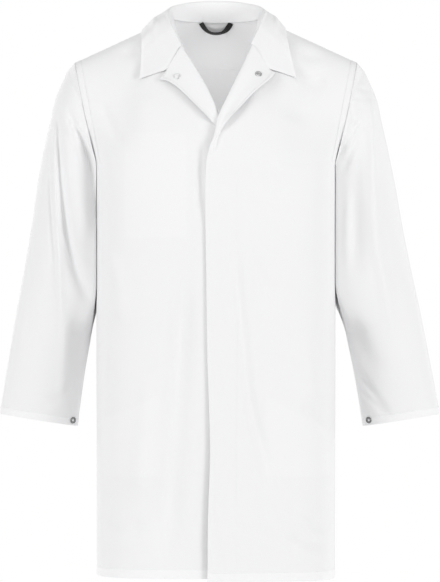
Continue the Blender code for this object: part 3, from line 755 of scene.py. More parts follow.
def spread(s, h):
    """Even steps along a row, closer together where a lower row turns round the side."""
    return mix(np.sin(s * np.pi / 2) ** 0.9, s, ease(h, 0.0, 0.6))


def front_points(side):
    """The grid of one front, with its inner edge folded under, and its marks."""
    low = front_hem(side)
    h = hem_levels(low, 1.0, rows=290, band=HEM_DEPTH / BODY_LENGTH)[:, None]
    inner = front_edge_x(side, h[:, 0])[:, None]
    outer = body_row("front", h)["x"]
    s = np.concatenate([[0.0, 0.0008, 0.0025, 0.0055], np.linspace(0.0095, 1.0, 96)])[None, :]
    x = mix(inner, outer, spread(s, h))
    point = soften_rows(body_point("front", x, h), h[:, 0])
    z = point[..., 2]
    normal = body_normal("front", x, h)
    from_hem = (h - low) * BODY_LENGTH
    from_edge = x - inner
    to_armhole = outer - x
    lift = overlap_lift(side, x, z) + front_relief(side, x, z)
    lift, doubled = press_hem(lift, from_hem, HEM_DEPTH)
    lift = lift + 0.0006 * groove(from_edge, 0.0035)
    lift, paler = press_armhole(lift, to_armhole, h)
    seam = np.maximum(np.exp(-from_hem / HEM_PUCKER), np.exp(-to_armhole / ARMHOLE_PUCKER))
    if side == "left":
        from_fly = x - FLY_STITCH_X
        lift = lift - 0.0001 * (groove(from_fly, 0.0016) * ease(-z, 0.27, 0.30))
        seam = np.maximum(seam, 0.3 * np.exp(-np.abs(from_fly) / 0.006) * (z < -0.28))
    seam = np.maximum(seam, 0.5 * np.exp(-from_edge / 0.008))
    # Painted light: the hem, the armhole allowance and the pocket bags paint the front paler where
    # its cloth lies doubled
    layer = 0.5 * doubled + paler + painted_pocket_light(side, x, z)
    point = point + normal * lift[..., None]
    point[..., 1] -= 0.0005 * ease(h, 0.9, 1.0)
    under = np.stack([point[:, 1] - normal[:, 1] * 0.0019 + np.array([0.004, 0.0, 0.0]),
                      point[:, 0] - normal[:, 0] * 0.0010 + np.array([-0.0003, 0.0, 0.0])],
                     axis=1)
    whole = np.concatenate([under, point], axis=1)
    normal = np.pad(normal, ((0, 0), (2, 0), (0, 0)), mode="edge")
    marks = edged({"seam": seam, "layer": layer}, (0, 1), (2, 0))
    return placed(side, turned_in(whole, normal)), marks


def soften_rows(points, h):
    """Ease the bend that the rows make where the armhole's rows meet the straight ones."""
    share = (ease(h, -0.09, -0.03) * (1 - ease(h, 0.24, 0.34)))[:, None, None]
    for _ in range(SOFTENINGS):
        mean = points.copy()
        mean[1:-1] = (points[:-2] + 2 * points[1:-1] + points[2:]) / 4
        points = mix(points, mean, share)
    return points


Pocket = namedtuple("Pocket", "side inner outer bottom mouth_inner mouth_outer")
POCKETS = {
    "pocket_chest": Pocket("right", 0.052, 0.162, -0.398, -0.212, -0.212),
    "pocket_lower_right": Pocket("right", 0.099, 0.203, -0.820, -0.678, -0.722),
    "pocket_lower_left": Pocket("left", 0.088, 0.203, -0.820, -0.680, -0.742),
}


def painted_pocket_light(side, x, z):
    """Painted light: a slightly whiter patch where a pocket bag lies behind the front, for less of
    the inside's shade showing through.
    """
    soft = 0.0030
    total = 0.0 * (x + z)
    for pocket in POCKETS.values():
        if pocket.side != side:
            continue
        mouth = mix(pocket.mouth_inner, pocket.mouth_outer,
                    (x - pocket.inner) / (pocket.outer - pocket.inner))
        inside = (ease(x, pocket.inner - soft, pocket.inner + soft)
                  * (1 - ease(x, pocket.outer - soft, pocket.outer + soft))
                  * ease(z, pocket.bottom - soft, pocket.bottom + soft)
                  * (1 - ease(z, mouth - soft, mouth + soft)))
        total = total + 0.17 * inside
    return total


# ---- the back and its yoke --------------------------------------------------------------------

BACK_CREASES = (
    Crease(((-150, -140), (-110, -230), (-90, -340)), 20, -4, 1),
    Crease(((155, -135), (118, -215), (100, -320)), 22, -4.2, -1),
    Crease(((-60, -330), (-30, -560), (-55, -860)), 30, -4.5),
    Crease(((75, -380), (60, -600), (95, -930)), 34, -5, 1.2),
    Crease(((10, -480), (22, -700), (10, -960)), 26, 3.6),
    Crease(((-120, -520), (-135, -740), (-110, -960)), 30, 3.4),
    Crease(((-185, -230), (-140, -262), (-100, -270)), 12, -1.8, 0.6),
    Crease(((188, -225), (150, -252), (105, -262)), 12, -1.8),
    Crease(((-80, -420), (0, -432), (70, -415)), 12, -1.6, 0.6),
    Crease(((150, -600), (160, -700), (155, -800)), 14, -1.4),
)


def back_points(low, high, rows, hem):
    """The grid of the back, or of the yoke where there is no hem, and its marks."""
    h = (hem_levels(low, high, rows, HEM_DEPTH / BODY_LENGTH) if hem
         else np.linspace(low, high, rows))[:, None]
    width = body_row("back", h)["x"]
    t = np.linspace(-1.0, 1.0, 150)[None, :]
    bent = np.sign(t) * mix(np.sin(np.abs(t) * np.pi / 2), np.abs(t), ease(h, 0.0, 0.6))
    x = bent * width
    point = soften_rows(body_point("back", x, h), h[:, 0])
    normal = body_normal("back", x, h)
    to_armhole = width - np.abs(x)
    # Painted light: the layer mark paints the armhole allowance, the hem and the yoke's seam
    # allowance paler where the cloth lies doubled
    lift, layer = press_armhole(relief(BACK_CREASES, x, point[..., 2]), to_armhole, h)
    seam = np.exp(-to_armhole / ARMHOLE_PUCKER)
    if hem:
        from_hem = (h - low) * BODY_LENGTH
        lift, doubled = press_hem(lift, from_hem, HEM_DEPTH)
        layer = layer + 0.5 * doubled
        seam = np.maximum(seam, np.exp(-from_hem / HEM_PUCKER))
        seam = np.maximum(seam, np.exp((h - high) * 0.35 / 0.010) * 0.7)
    else:
        from_seam = (h - low) * 0.33
        lift = lift - 0.0006 * groove(from_seam - 0.0052, 0.0013)
        layer = layer + 0.25 * (1 - ease(from_seam, 0.0045, 0.0055))
        seam = np.maximum(seam, np.exp((low - h) * 0.35 / 0.010) * 0.7)
    point = point + normal * lift[..., None]
    point[..., 1] += 0.0005 * ease(h, 0.9, 1.0)
    marks = {"seam": seam, "layer": layer}
    if hem:
        under = point[-1:] - normal[-1:] * 0.0014
        up = unit(point[-1:] - point[-2:-1])
        whole = np.concatenate([point, under + up * 0.0004, under + up * 0.0050])
        return whole, edged(marks, (0, 2), (0, 0))
    whole = turned_in(point, normal)
    neck = (np.abs(x[-1]) < NECK_HALF_WIDTH)[:, None]
    whole[-1] = np.where(neck, point[-1] + np.array([0.0, 0.0003, 0.0034]), whole[-1])
    return whole, edged(marks, (0, 1), (0, 0))


# ---- the sleeves ------------------------------------------------------------------------------

# Creases of each sleeve, on the front half of the tube and on its back half, given for the
# wearer's left in the front view
SLEEVE_CREASES = {
    "right": {
        "front": (
            Crease(((288, -110), (289, -200), (288, -290), (284.5, -390), (279, -520),
                    (276, -600)), 6, 4),
            Crease(((285, -130), (283, -210), (279.5, -280), (273.5, -350), (266, -410),
                    (252, -456), (233, -498), (212, -530), (198, -550)), 9.5, -8.5),
            Crease(((299.5, -130), (298.5, -200), (297.5, -290), (293, -380), (285, -470),
                    (280, -520)), 4.5, -2.6),
            Crease(((272, -150), (256, -190), (240, -230), (229, -262), (221.5, -310), (215, -360),
                    (210, -400)), 8.5, -8),
            Crease(((315, -150), (280, -195), (250, -240)), 7, -1.8),
            Crease(((246, -230), (246, -330), (236, -430)), 18, 6),
            Crease(((236, -440), (245, -540), (253, -640), (258, -760)), 15, -1.4),
            Crease(((270, -500), (273, -600), (278, -720)), 12, 3),
            Crease(((256, -655), (286, -688), (325, -700)), 9, -1.8),
            Crease(((345, -400), (362, -520), (372, -640)), 18, 3),
        ),
        "back": (
            Crease(((300, -230), (296, -330), (276, -470)), 18, -5, 1.5),
            Crease(((240, -470), (300, -500), (345, -488)), 13, -4.6, 1),
            Crease(((248, -530), (300, -560), (350, -560)), 12, -4),
            Crease(((330, -560), (345, -650), (350, -710)), 16, 2.6),
        ),
    },
    "left": {
        "front": (
            Crease(((286, -90), (283, -190), (283, -300), (290, -412), (306, -492),
                    (324, -600)), 10, 4.2),
            Crease(((262, -110), (261, -200), (256, -300), (253, -400), (254, -520)), 16, -5.2),
            Crease(((238, -290), (236, -380), (236, -480)), 8, 2.4),
            Crease(((291, -120), (289.5, -180), (286, -260)), 4, -1.4),
            Crease(((260, -180), (238, -222), (216, -252)), 6, -3),
            Crease(((260, -205), (242, -245), (225, -290)), 6, -2),
            Crease(((238, -520), (256, -580), (276, -616), (296, -655)), 17, -4.2),
            Crease(((250, -630), (274, -662), (305, -705), (320, -730)), 6.5, -3.4),
            Crease(((256, -668), (282, -692), (312, -722)), 5.5, -2.6),
            Crease(((352, -420), (378, -540), (392, -660)), 18, 3),
            Crease(((244, -124), (270, -131), (296, -127)), 5, -1.2),
            Crease(((240, -142), (264, -147), (290, -143)), 5, -1),
        ),
        "back": (
            Crease(((302, -220), (292, -340), (282, -480)), 18, -6, -1.5),
            Crease(((250, -480), (310, -512), (360, -498)), 13, -4.6, 1),
            Crease(((258, -545), (312, -566), (372, -560)), 12, -3.6),
        ),
    },
}


def signed_power(value, power):
    return np.abs(value) ** power * np.sign(value)


def body_side(y, z):
    """How far out the body's side is at each depth and height."""
    across = {half: read(LEVELS, half, z) for half in SECTION}
    width = read(LEVELS, "half_width", z)
    reach = {half: width * (1 - np.clip(y / across[half], 0.0, 0.98) ** SECTION[half][1])
             ** (1 / SECTION[half][0]) for half in SECTION}
    return np.where(y < 0, reach["front"], reach["back"])


def sleeve_surface(side, place, angle):
    """The sleeve before its creases, for the wearer's left; angle 0 is its outer side."""
    values = {column: read(SLEEVE_RINGS, column, place) for column in Ring._fields[1:]}
    worn = ease(place, 0.0, 0.65) * (1 - ease(place, 7.7, 9.2))
    across = np.cos(angle)
    deep = np.sin(angle)
    square = values["square"] + 19.0 * worn * ease(-across, -0.10, 0.50)
    reach = (np.abs(across) ** square + np.abs(deep) ** square) ** (-1 / square)
    turn = across * reach
    head = 1 - ease(place, 0.0, 0.8)
    depth = np.where(deep >= 0, values["front"], values["back"])
    depth = mix(depth, FOLD_DEPTH, worn * ease(-across, -0.25, 0.70) * ease(place, 0.1, 1.2))
    y = -depth * mix(deep * reach, signed_power(deep, ARMHOLE_SQUARE), head)
    z = mix(values["inner_z"], values["outer_z"], (1 + turn) / 2)
    swing = CUFF_SWING * np.clip((-0.25 - z) / 0.4655, 0, 1.05) * (side == "left")
    inner = mix(values["inner_x"] + swing, body_side(y, z) + SIDE_AIR, worn)
    return vectors(mix(inner, values["outer_x"] + swing, (1 + turn) / 2), y, z)


def sleeve_place(side, place, angle, lift):
    """A point of the sleeve with its creases, lifted off it, and its normal, on its own side."""
    place = np.asarray(place, float)
    point = sleeve_surface(side, place, angle)
    round_it = (sleeve_surface(side, place, angle + 0.02)
                - sleeve_surface(side, place, angle - 0.02))
    down = (sleeve_surface(side, np.minimum(place + 0.03, LAST_RING), angle)
            - sleeve_surface(side, np.maximum(place - 0.03, 0), angle))
    normal = unit(np.cross(down, round_it))
    centre = (sleeve_surface(side, place, 0.0 * angle) / 2
              + sleeve_surface(side, place, np.pi + 0.0 * angle) / 2)
    normal = normal * np.where(((point - centre) * normal).sum(-1, keepdims=True) < 0, -1.0, 1.0)
    facing = -normal[..., 1]
    x = point[..., 0]
    z = point[..., 2]
    moved = (relief(SLEEVE_CREASES[side]["front"], x, z) * ease(facing, 0.10, 0.55)
             + relief(SLEEVE_CREASES[side]["back"], x, z) * ease(-facing, 0.10, 0.55))
    near_head = ease(place, 0.0, 1.1)
    near_cuff = 1 - 0.6 * ease(place, LAST_RING - 0.8, LAST_RING)
    point = point + normal * np.asarray(lift)[..., None]
    point[..., 1] -= np.sign(facing) * moved * near_head * near_cuff
    return placed(side, point), placed(side, normal)


def armhole_underlap(side, angle):
    """Two rows of the sleeve's seam allowance, tucked under the body's cloth at the armhole."""
    turn = (angle + np.pi) % (2 * np.pi) - np.pi
    h = 1 - np.abs(turn) / np.pi
    edge = np.empty(h.shape + (3,))
    normal = np.empty(h.shape + (3,))
    for half, here in (("front", turn >= 0), ("back", turn < 0)):
        x = body_row(half, h[here])["x"]
        edge[here] = body_point(half, x, h[here])
        normal[here] = body_normal(half, x, h[here])
    ring = np.arange(len(h) - 1)
    for _ in range(6):
        normal[ring] = unit(normal[ring - 1] + 2 * normal[ring] + normal[(ring + 1) % len(ring)])
    normal[-1] = normal[0]
    along = edge[(ring + 1) % len(ring)] - edge[ring - 1]
    inward = unit(np.cross(normal[ring], along))
    inward = np.concatenate([inward, inward[:1]])
    inward *= -np.sign(inward[len(ring) // 4, 0])
    return placed(side, np.stack([edge - normal * 0.0016 + inward * 0.0042,
                                  edge - normal * 0.0014 + inward * 0.0003]))


def sleeve_points(side):
    """The grid of one sleeve, from under the armhole to the cuff, and its marks."""
    cuff = LAST_RING - CUFF_HEM_DEPTH / SLEEVE_STEP * 1.4
    place = np.concatenate([np.linspace(0, cuff, 190),
                            np.linspace(cuff, LAST_RING, HEM_ROWS)[1:]])[:, None]
    angle = np.concatenate([np.linspace(0.0, np.pi, 125), np.linspace(np.pi, 2 * np.pi, 65)[1:]])
    angle = angle[None, :] + 0.0 * place
    angle[:, -1] = 0.0
    from_cuff = (LAST_RING - place) * SLEEVE_STEP + 0 * angle
    from_seam = np.abs(angle - SLEEVE_SEAM) * SLEEVE_RADIUS
    lift, doubled = press_hem(0.0, from_cuff, CUFF_HEM_DEPTH)
    lift = lift - 0.0010 * groove(from_seam, 0.0016)
    point, _ = sleeve_place(side, place + 0 * angle, angle, lift)
    seam = np.maximum(np.exp(-from_cuff / 0.014), np.exp(-place / 0.16))
    seam = np.maximum(seam, 0.5 * np.exp(-from_seam / 0.008))
    whole = np.concatenate([armhole_underlap(side, angle[0]), point])
    # Painted light: the cuff hem is painted paler where the cloth lies doubled
    return whole, edged({"seam": seam, "layer": 0.5 * doubled}, (2, 0), (0, 0))


# ---- lapels and collar ------------------------------------------------------------------------

Corner = namedtuple("Corner", "place x z")


def lapel_edge(side, t):
    """The lapel's outline at t, from 0 at the notch; sharp at its corner, smooth below it."""
    first, second = LAPEL_EDGE[side][:2]
    place = t * (len(LAPEL_EDGE[side]) - 1)
    curve = [Corner(float(k), row.x, row.z) for k, row in enumerate(LAPEL_EDGE[side])][1:]
    return [np.where(place < 1.0, mix(getattr(first, axis), getattr(second, axis), place),
                     read(curve, axis, np.maximum(place, 1))) for axis in ("x", "z")]


def lapel_points(side):
    """The grid of one lapel, with its roll turned under, and its marks."""
    last = len(LAPEL_EDGE[side]) - 1
    t = np.concatenate([np.linspace(0, 1 / last, 22), np.linspace(1 / last, 1, 110)[1:]])[:, None]
    u = np.linspace(0.0, 1.0, 48)[None, :]
    edge_x, edge_z = lapel_edge(side, t)
    roll_z = mix(LAPEL_TOP_Z, LAPEL_BREAK_Z[side], t ** 0.85)
    roll_x = read(FRONT_EDGE[side], "x", roll_z)
    x = mix(roll_x, edge_x, u)
    z = mix(roll_z, edge_z, u) + 0.0010 * np.sin(np.pi * u) * (1 - t)
    width = np.hypot(edge_x - roll_x, edge_z - roll_z)
    from_roll = u * width
    from_edge = (1 - u) * width
    top = 1 - ease(t, 0.06, 0.30)
    stand = mix(LAPEL_STAND[side], 0.0042, top)
    lift = 0.0038 + 0.0010 * ease(from_roll, 0.0, 0.006) - 0.0008 * ease(from_roll, 0.012, 0.045)
    lift = mix(lift, stand, ease(from_roll / width, 0.25, 1.0) ** 1.4)
    lift = lift - 0.0004 * groove(from_edge - 0.0062, 0.0012)
    sunk = LAPEL_FADE[side]
    lift = mix(lift, mix(0.0042, -0.0016, ease(u, 0.35, 1.0)), ease(t, sunk, sunk + 0.24))
    lift = mix(lift, mix(-0.0012, -0.0020, u), ease(t, 0.84, 0.99))
    point = on_front(side, x, z, lift)
    ended = ease(t, 0.78, 0.92)
    rolled_under = [on_front(side, roll_x + mix(aside, 0.0012, ended), roll_z,
                             mix(height, -0.0018, ended))
                    for aside, height in ((0.0010, -0.0014), (-0.0008, -0.0009),
                                          (-0.0017, 0.0004), (-0.0013, 0.0024))]
    tuck = on_front(side, np.concatenate([roll_x[:1] - 0.001] * 4 + [x[:1]], axis=1),
                    np.concatenate([roll_z[:1]] * 4 + [z[:1]], axis=1) + 0.0040, 0.0016)
    seam = np.maximum(np.exp(-from_edge / EDGE_PUCKER), np.exp(-(t * 0.16) / 0.006))
    # Painted light: the lapel is painted paler as doubled cloth, most along its edge
    layer = 0.35 * (1 - ease(from_edge, *EDGE_BAND)) + 0.25
    whole = np.concatenate([tuck, np.concatenate(rolled_under + [point], axis=1)])
    return whole, edged({"seam": seam, "layer": layer}, (1, 0), (4, 0))


def keep_off(point, lift):
    """Push a point of the collar outwards until it clears the coat below it by lift."""
    half = "front" if point[1] < 0 else "back"
    own = "left" if point[0] > 0 else "right"
    x = np.array(abs(point[0]))
    z = np.array(point[2])
    h = height_to_row(half, x, z)
    base = body_point(half, x, h)
    normal = body_normal(half, x, h)
    moved = front_relief(own, x, z) + overlap_lift(own, x, z) if half == "front" else 0.0
    local = placed(own, point)
    short = lift + moved - (local - base) @ normal
    if short > 0:
        local = local + normal * short
    return placed(own, local)


def collar_station(seam, fold, middle, edge, outward):
    """One line across the collar: up the stand, over the fold and down the fall."""
    turn = fold + outward * 0.0046 + np.array([0, 0, -0.0010])
    fall = ([mix(turn, middle, k / 3) for k in range(3)]
            + [mix(middle, edge, k / 3) for k in range(4)])
    return [seam, mix(seam, fold, 0.35), mix(seam, fold, 0.75),
            fold + np.array([0, 0, 0.0002])] + fall


def collar_half(side):
    """The lines across one half of the collar, from the centre back to the gorge."""
    lines = []
    falls = COLLAR_EDGE[side]
    for station, fall in zip(COLLAR_BACK, falls):
        seam = placed(side, np.array(station[:3]))
        fold = placed(side, np.array(station[3:]))
        edge = placed(side, on_back(fall.x, fall.z, fall.lift))
        outward = unit(np.array([edge[0] - fold[0], edge[1] - fold[1], 0.0]))
        middle = mix(fold, edge, 0.5) + outward * 0.004 + np.array([0, 0, 0.0035])
        lines.append(collar_station(seam, fold, middle, edge, outward))
    for k, (turn, fall) in enumerate(zip(COLLAR_FRONT, falls[len(COLLAR_BACK):])):
        seam_x = read(FRONT_EDGE[side], "x", turn.seam_z)
        inside = mix(0.0005, 0.0045, k / (len(COLLAR_FRONT) - 1))
        seam = on_front(side, seam_x - 0.0046, turn.seam_z, -inside)
        fold = on_front(side, turn.fold_x, turn.fold_z, turn.fold_lift)
        edge = on_front(side, fall.x, fall.z, fall.lift)
        outward = unit(edge - fold)
        middle = mix(fold, edge, 0.5) + np.array([0, -0.002, 0.002])
        if k == len(COLLAR_FRONT) - 1:
            notch = NOTCH[side]
            middle = on_front(side, notch.x + 0.0006, notch.z + GORGE_GAP, 0.0046)
        lines.append(collar_station(seam, fold, middle, edge, outward))
    return [line[:4] + [keep_off(point, 0.0030) for point in line[4:]] for line in lines]


def finer(points, axis, steps):
    """Run smooth curves through a grid along one axis, with evenly shared steps."""
    points = np.moveaxis(points, axis, 0)
    count = len(points)
    curves = read_columns(range(count), points.reshape(count, -1),
                          np.linspace(0.0, count - 1.0, steps))
    return np.moveaxis(curves.reshape((steps,) + points.shape[1:]), 0, axis)


def collar_points():
    """The grid of the collar, from the wearer's right gorge round the neck to the left one."""
    right = np.array(collar_half("right"))
    left = np.array(collar_half("left"))
    stations = np.concatenate([right[::-1], left[1:]])
    return finer(finer(stations, axis=0, steps=190), axis=1, steps=56)


# ---- fly, pockets, loop, label and snaps ------------------------------------------------------


def fly_points():
    """The strip behind the left front's edge, pressed back where that front has its troughs."""
    z = np.linspace(-0.985, -0.310, 90)[:, None]
    x = np.linspace(-0.0345, 0.0060, 14)[None, :]
    point = on_front("right", x, z, 0.0)
    pressed = front_relief("left", -x, z) * ease(-x, 0.014, 0.024)
    point[..., 1] -= 0.00165 + np.minimum(pressed, 0.0)
    return point


def pocket_points(pocket):
    """A pocket bag lying just behind its front."""
    s = np.linspace(0.0, 1.0, 26)[None, :]
    t = np.linspace(0.0, 1.0, 34)[:, None]
    mouth = mix(pocket.mouth_inner, pocket.mouth_outer, s)
    return on_front(pocket.side, mix(pocket.inner, pocket.outer, s),
                    mix(pocket.bottom, mouth, t), -0.0017)


def inside_back(x, z):
    """How deep the yoke is at (x, z), or at its neckline where z is above it."""
    return on_back(x, z, 0.0)[..., 1]


def loop_points():
    """The hanger tape: out of the neck seam, down, round on its edge and back up."""
    s = np.linspace(-1.0, 1.0, 90)[:, None]
    across = np.linspace(-1.0, 1.0, 7)[None, :]
    along = s * (1.35 - 0.35 * s * s)
    x = LOOP_HALF * along
    z = 0.0002 - LOOP_DROP * (1 - np.abs(along) ** 2.65)
    middle = vectors(x, inside_back(x, z), z)
    tangent = np.gradient(middle, axis=0)
    inward = unit(vectors(-tangent[..., 2], 0.0, tangent[..., 0]))
    turn = mix(0.72, np.where(s < 0, 0.40, 0.05), ease(np.abs(s), 0.25, 0.85))[..., None]
    wide = unit(mix(inward, np.array([0.0, -1.0, 0.0]), turn)) * (LOOP_TAPE / 2)
    middle[..., 1] -= np.abs(wide[..., 1]) + mix(0.0058, 0.0023, ease(np.abs(s), 0.30, 1.0))
    return middle + wide * across[..., None]


def label_points():
    """The neck label, lying loosely on the inside of the yoke."""
    low_x, high_x, low_z, high_z = LABEL
    z = np.linspace(low_z, high_z, 24)[:, None]
    x = np.linspace(low_x, high_x, 40)[None, :] + 0 * z
    z = z + 0.0003 * np.sin((x - low_x) * 90)
    return vectors(x, inside_back(x, z) - 0.0022 - 0.0003 * np.cos((x - 0.01) * 60), z)


def turned(name, profile, centre, normal, surface):
    """A round fitting: a profile of radius and height spun round the direction off the cloth."""
    bm = bmesh.new()
    corners = [bm.verts.new((radius, 0.0, height)) for radius, height in profile]
    edges = [bm.edges.new(ends) for ends in zip(corners, corners[1:])]
    bmesh.ops.spin(bm, geom=corners + edges, axis=(0, 0, 1), cent=(0, 0, 0), steps=40,
                   angle=radians(360), use_merge=True)
    bmesh.ops.remove_doubles(bm, verts=bm.verts, dist=1e-7)
    bmesh.ops.recalc_face_normals(bm, faces=bm.faces)
    facing = Vector(normal).to_track_quat("Z", "Y").to_matrix().to_4x4()
    bmesh.ops.transform(bm, matrix=Matrix.Translation(Vector(centre)) @ facing, verts=bm.verts)
    mesh = mesh_of(bm, name)
    mesh.shade_smooth()
    mesh.set_sharp_from_angle(angle=radians(40))
    mesh.materials.append(surface)
    thing = show(name, mesh)
    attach(thing, "root")
    return thing


RING_PROFILE = (
    (0.0030, 0.0000), (0.0029, 0.0007), (0.0032, 0.0012), (0.0041, 0.0013), (0.0049, 0.0018),
    (0.0060, 0.0017), (0.0066, 0.0010), (0.0067, 0.0002), (0.0064, 0.0000), (0.0030, 0.0000),
)
STUD_PROFILE = (
    (0.0000, 0.0021), (0.0016, 0.0021), (0.0021, 0.0018), (0.0023, 0.0008), (0.0040, 0.0007),
    (0.0046, 0.0011), (0.0060, 0.0010), (0.0066, 0.0004), (0.0064, 0.0000), (0.0000, 0.0000),
)

# ---- the coat put together --------------------------------------------------------------------


def hang(name, node, points, marks, flat, area, wall=CLOTH, surface=cotton, closed=False):
    """Make a cloth piece, attach it to the root and hide the part it stands for; its flat size and
    area are not used.
    """
    thing = cloth_piece(name, points, wall, surface, closed, marks or {})
    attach(thing, "root")
    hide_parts(node)
    return thing


def front_stitches(name, side, x, z, h, lift=0.0004):
    """A row of stitches on a front through (x, z), where its rows are at h."""
    normal = placed(side, body_normal("front", x, h))
    return stitches(name, on_front(side, x, z, lift), normal)


def build_fronts():
    for side in ("right", "left"):
        points, marks = front_points(side)
        h = np.full(120, front_hem(side) + (HEM_DEPTH - STITCH_INSET) / BODY_LENGTH)
        inner = front_edge_x(side, h)
        x = np.linspace(inner[0] + 0.001, body_row("front", h)["x"][0] - 0.002, 120)
        z = body_point("front", x, h)[..., 2]
        threads = [front_stitches(f"hem_stitches_{side}", side, x, z, h)]
        h = np.linspace(0.06, 0.985, 90)
        x = body_row("front", h)["x"] - ARMHOLE_STITCH
        z = body_point("front", x, h)[..., 2]
        threads.append(front_stitches(f"armhole_stitches_{side}", side, x, z, h))
        if side == "left":
            z = np.linspace(-0.985, -0.300, 120)
            x = FLY_STITCH_X + 0.0008 * np.sin(z * 9)
            h = height_to_row("front", x, z)
            threads.append(front_stitches("fly_stitches", side, x, z, h, 0.0003))
        hang(f"front_{side}_cloth", f"front_{side}", points, marks, (0.32, 1.04), 0.295)


def build_back():
    points, marks = back_points(-1.0, YOKE_H - YOKE_GAP, rows=250, hem=True)
    h = np.full(220, -1.0 + (HEM_DEPTH - STITCH_INSET) / BODY_LENGTH)
    width = body_row("back", h)["x"]
    x = np.linspace(-width[0] + 0.002, width[0] - 0.002, 220)
    z = body_point("back", x, h)[..., 2]
    hem = stitches("hem_stitches_back", on_back(x, z, 0.0004), body_normal("back", x, h))
    hang("back_cloth", "back", points, marks, (0.58, 0.93), 0.505)
    points, marks = back_points(YOKE_H + YOKE_GAP, 1.0, rows=70, hem=False)
    hang("yoke_cloth", "back_yoke", points, marks, (0.54, 0.17), 0.066)


def build_sleeves():
    for side in ("right", "left"):
        points, marks = sleeve_points(side)
        angle = np.linspace(0.0, 2 * np.pi, 120)
        place = np.full(120, LAST_RING - (CUFF_HEM_DEPTH - STITCH_INSET) / SLEEVE_STEP)
        hem = stitches(f"cuff_stitches_{side}", *sleeve_place(side, place, angle, 0.0004))
        hang(f"sleeve_{side}_cloth", f"sleeve_{side}", points, marks, (0.42, 0.65), 0.225,
             closed=True)


def edge_stitches(name, points, column):
    """A row of stitches on the outer face of a grid, along one of its columns."""
    normals = unit(np.cross(np.gradient(points, axis=1), np.gradient(points, axis=0)))[:, column]
    normals = normals * np.where(normals[:, 1:2] > 0, -1.0, 1.0)
    return stitches(name, points[:, column] + normals * 0.0010, normals)


def build_collar():
    for side in ("right", "left"):
        points, marks = lapel_points(side)
        threads = [edge_stitches(f"lapel_stitches_{side}", points, -5)]
        hang(f"lapel_{side}_cloth", f"lapel_{side}", points, marks, (0.085, 0.185), 0.0078,
             wall=LAPEL_WALL, surface=collar_cotton)
    points = collar_points()
    across = run_lengths(points, 1)
    along = run_lengths(points, 0)
    from_edge = across[:, -1:] - across
    from_end = np.minimum(along, along[::-1])
    # Painted light: the collar is painted paler as doubled cloth, most along its edges and ends
    marks = {"seam": np.maximum(np.exp(-from_edge / EDGE_PUCKER), np.exp(-from_end / EDGE_PUCKER)),
             "layer": 0.35 * (1 - ease(np.minimum(from_edge, from_end), *EDGE_BAND)) + 0.2}
    hang("collar_cloth", "collar", points, marks, (0.50, 0.12), 0.0435,
         wall=COLLAR_WALL, surface=collar_cotton)


def build_inside():
    hang("fly_strip_cloth", "fly_strip", fly_points(), None, (0.042, 0.68), 0.028)
    for name, pocket in POCKETS.items():
        points = pocket_points(pocket)
        width = pocket.outer - pocket.inner
        height = max(pocket.mouth_inner, pocket.mouth_outer) - pocket.bottom
        mean_height = (pocket.mouth_inner + pocket.mouth_outer) / 2 - pocket.bottom
        hang(f"{name}_cloth", name, points, None, (width * 1.20, height * 1.03),
             width * mean_height * 1.09)
    hang("hanger_loop_tape", "hanger_loop", loop_points(), None, (0.0100, 0.083), None,
         surface=black_tape)
    hang("neck_label_tape", "neck_label", label_points(), None, (0.0385, 0.0265), None,
         wall=LABEL_WALL, surface=label_cotton)


def build_snaps():
    for name, side, x, z, profile, surface, slot in (
            ("lapel_ring", "right", 0.0691, -0.1127, RING_PROFILE, steel, "snap_steel"),
            ("lapel_stud", "left", 0.0744, -0.1100, STUD_PROFILE, dark_metal, "snap_dark")):
        centre = on_front(side, x, z, 0.0056)
        normal = on_front(side, x, z, 0.0156) - centre
        thing = turned(f"{name}_snap", profile, centre, normal, surface)
        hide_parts(name)
    profile = tuple((radius * 0.866, height * 0.9) for radius, height in RING_PROFILE)
    for side, angle in (("right", radians(150)), ("left", radians(146))):
        spot, normal = sleeve_place(side, LAST_RING - 0.10, angle, 0.0010)
        thing = turned(f"cuff_snap_{side}_ring", profile, spot, normal, cuff_metal)
        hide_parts(f"cuff_snap_{side}")


build_fronts()
build_back()
build_sleeves()
build_collar()
build_inside()
build_snaps()

# ---- floor, light and camera ------------------------------------------------------------------


def build_stage():
    """A pale round floor under the coat."""
    bm = bmesh.new()
    bmesh.ops.create_circle(bm, cap_ends=True, segments=96, radius=1.15)
    bmesh.ops.translate(bm, verts=bm.verts, vec=(0.0, 0.0, -1.16))
    floor = show("studio_floor", mesh_of(bm, "studio_floor"))
    floor.data.materials.append(
        Finish("pale floor", Base_Color=grey(0.90), Roughness=0.9).material)


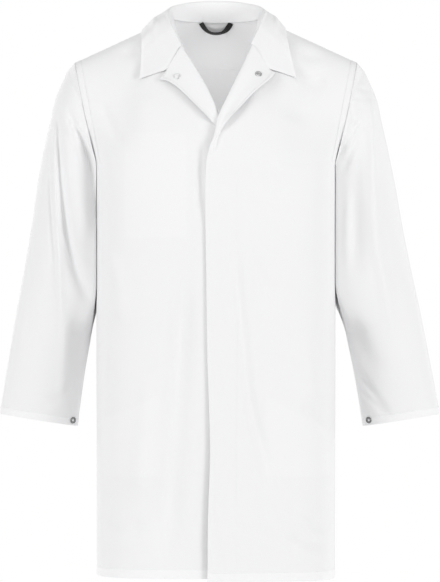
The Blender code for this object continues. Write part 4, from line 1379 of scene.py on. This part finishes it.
def soft_lamp(name, place, aim, size, power, height=None):
    """A round lamp, or an oval one size wide when its height is given."""
    light = bpy.data.lights.new(name, "AREA")
    light.shape = "ELLIPSE" if height else "DISK"
    light.size = size
    if height:
        light.size_y = height
    light.energy = power
    lamp = show(name, light)
    lamp.location = place
    turn = Vector(aim) - Vector(place)
    lamp.rotation_euler = turn.to_track_quat("-Z", "Y").to_euler()
    lamp.visible_camera = False


def build_light():
    world = bpy.data.worlds.new("studio")
    bpy.context.scene.world = world
    world.use_nodes = True
    tree = world.node_tree
    open_air = tree.nodes["Background"]
    open_air.inputs["Color"].default_value = grey(1.0)
    open_air.inputs["Strength"].default_value = 0.58
    seen = tree.nodes.new("ShaderNodeBackground")
    seen.inputs["Color"].default_value = grey(1.0)
    seen.inputs["Strength"].default_value = 1.0
    path = tree.nodes.new("ShaderNodeLightPath")
    choose = tree.nodes.new("ShaderNodeMixShader")
    tree.links.new(path.outputs["Is Camera Ray"], choose.inputs[0])
    tree.links.new(open_air.outputs[0], choose.inputs[1])
    tree.links.new(seen.outputs[0], choose.inputs[2])
    tree.links.new(choose.outputs[0], tree.nodes["World Output"].inputs["Surface"])
    middle = (0.0, 0.0, -0.40)
    soft_lamp("key", (3.3, -2.3, 0.1), middle, 1.5, 58.0)
    soft_lamp("fill", (-3.3, -2.3, 0.1), middle, 1.5, 52.0)
    soft_lamp("neck light", (0.0, -1.3, 0.35), (0.0, 0.0, -0.08), 0.5, 1.65)
    soft_lamp("inside light", (0.0, -0.03, -0.40), (0.0, 0.075, 0.0), 0.14, 0.19)
    soft_lamp("neckline light", (0.0, 0.0, -0.085), (0.0, 0.10, -0.085), 0.15, 0.036, height=0.05)
    soft_lamp("back key", (-2.2, 3.4, 0.7), middle, 1.5, 48.0)
    soft_lamp("back fill", (3.2, 2.6, 0.0), middle, 1.5, 22.0)


def build_camera():
    lens = bpy.data.cameras.new("camera")
    lens.sensor_width = 36.0
    lens.lens = 170.1
    camera = show("camera", lens)
    camera.location = (0.0073, -5.0, -0.4927)
    camera.rotation_euler = (radians(90), 0.0, 0.0)
    bpy.context.scene.camera = camera
    bpy.context.scene.view_settings.view_transform = "Standard"


build_stage()
build_light()
build_camera()
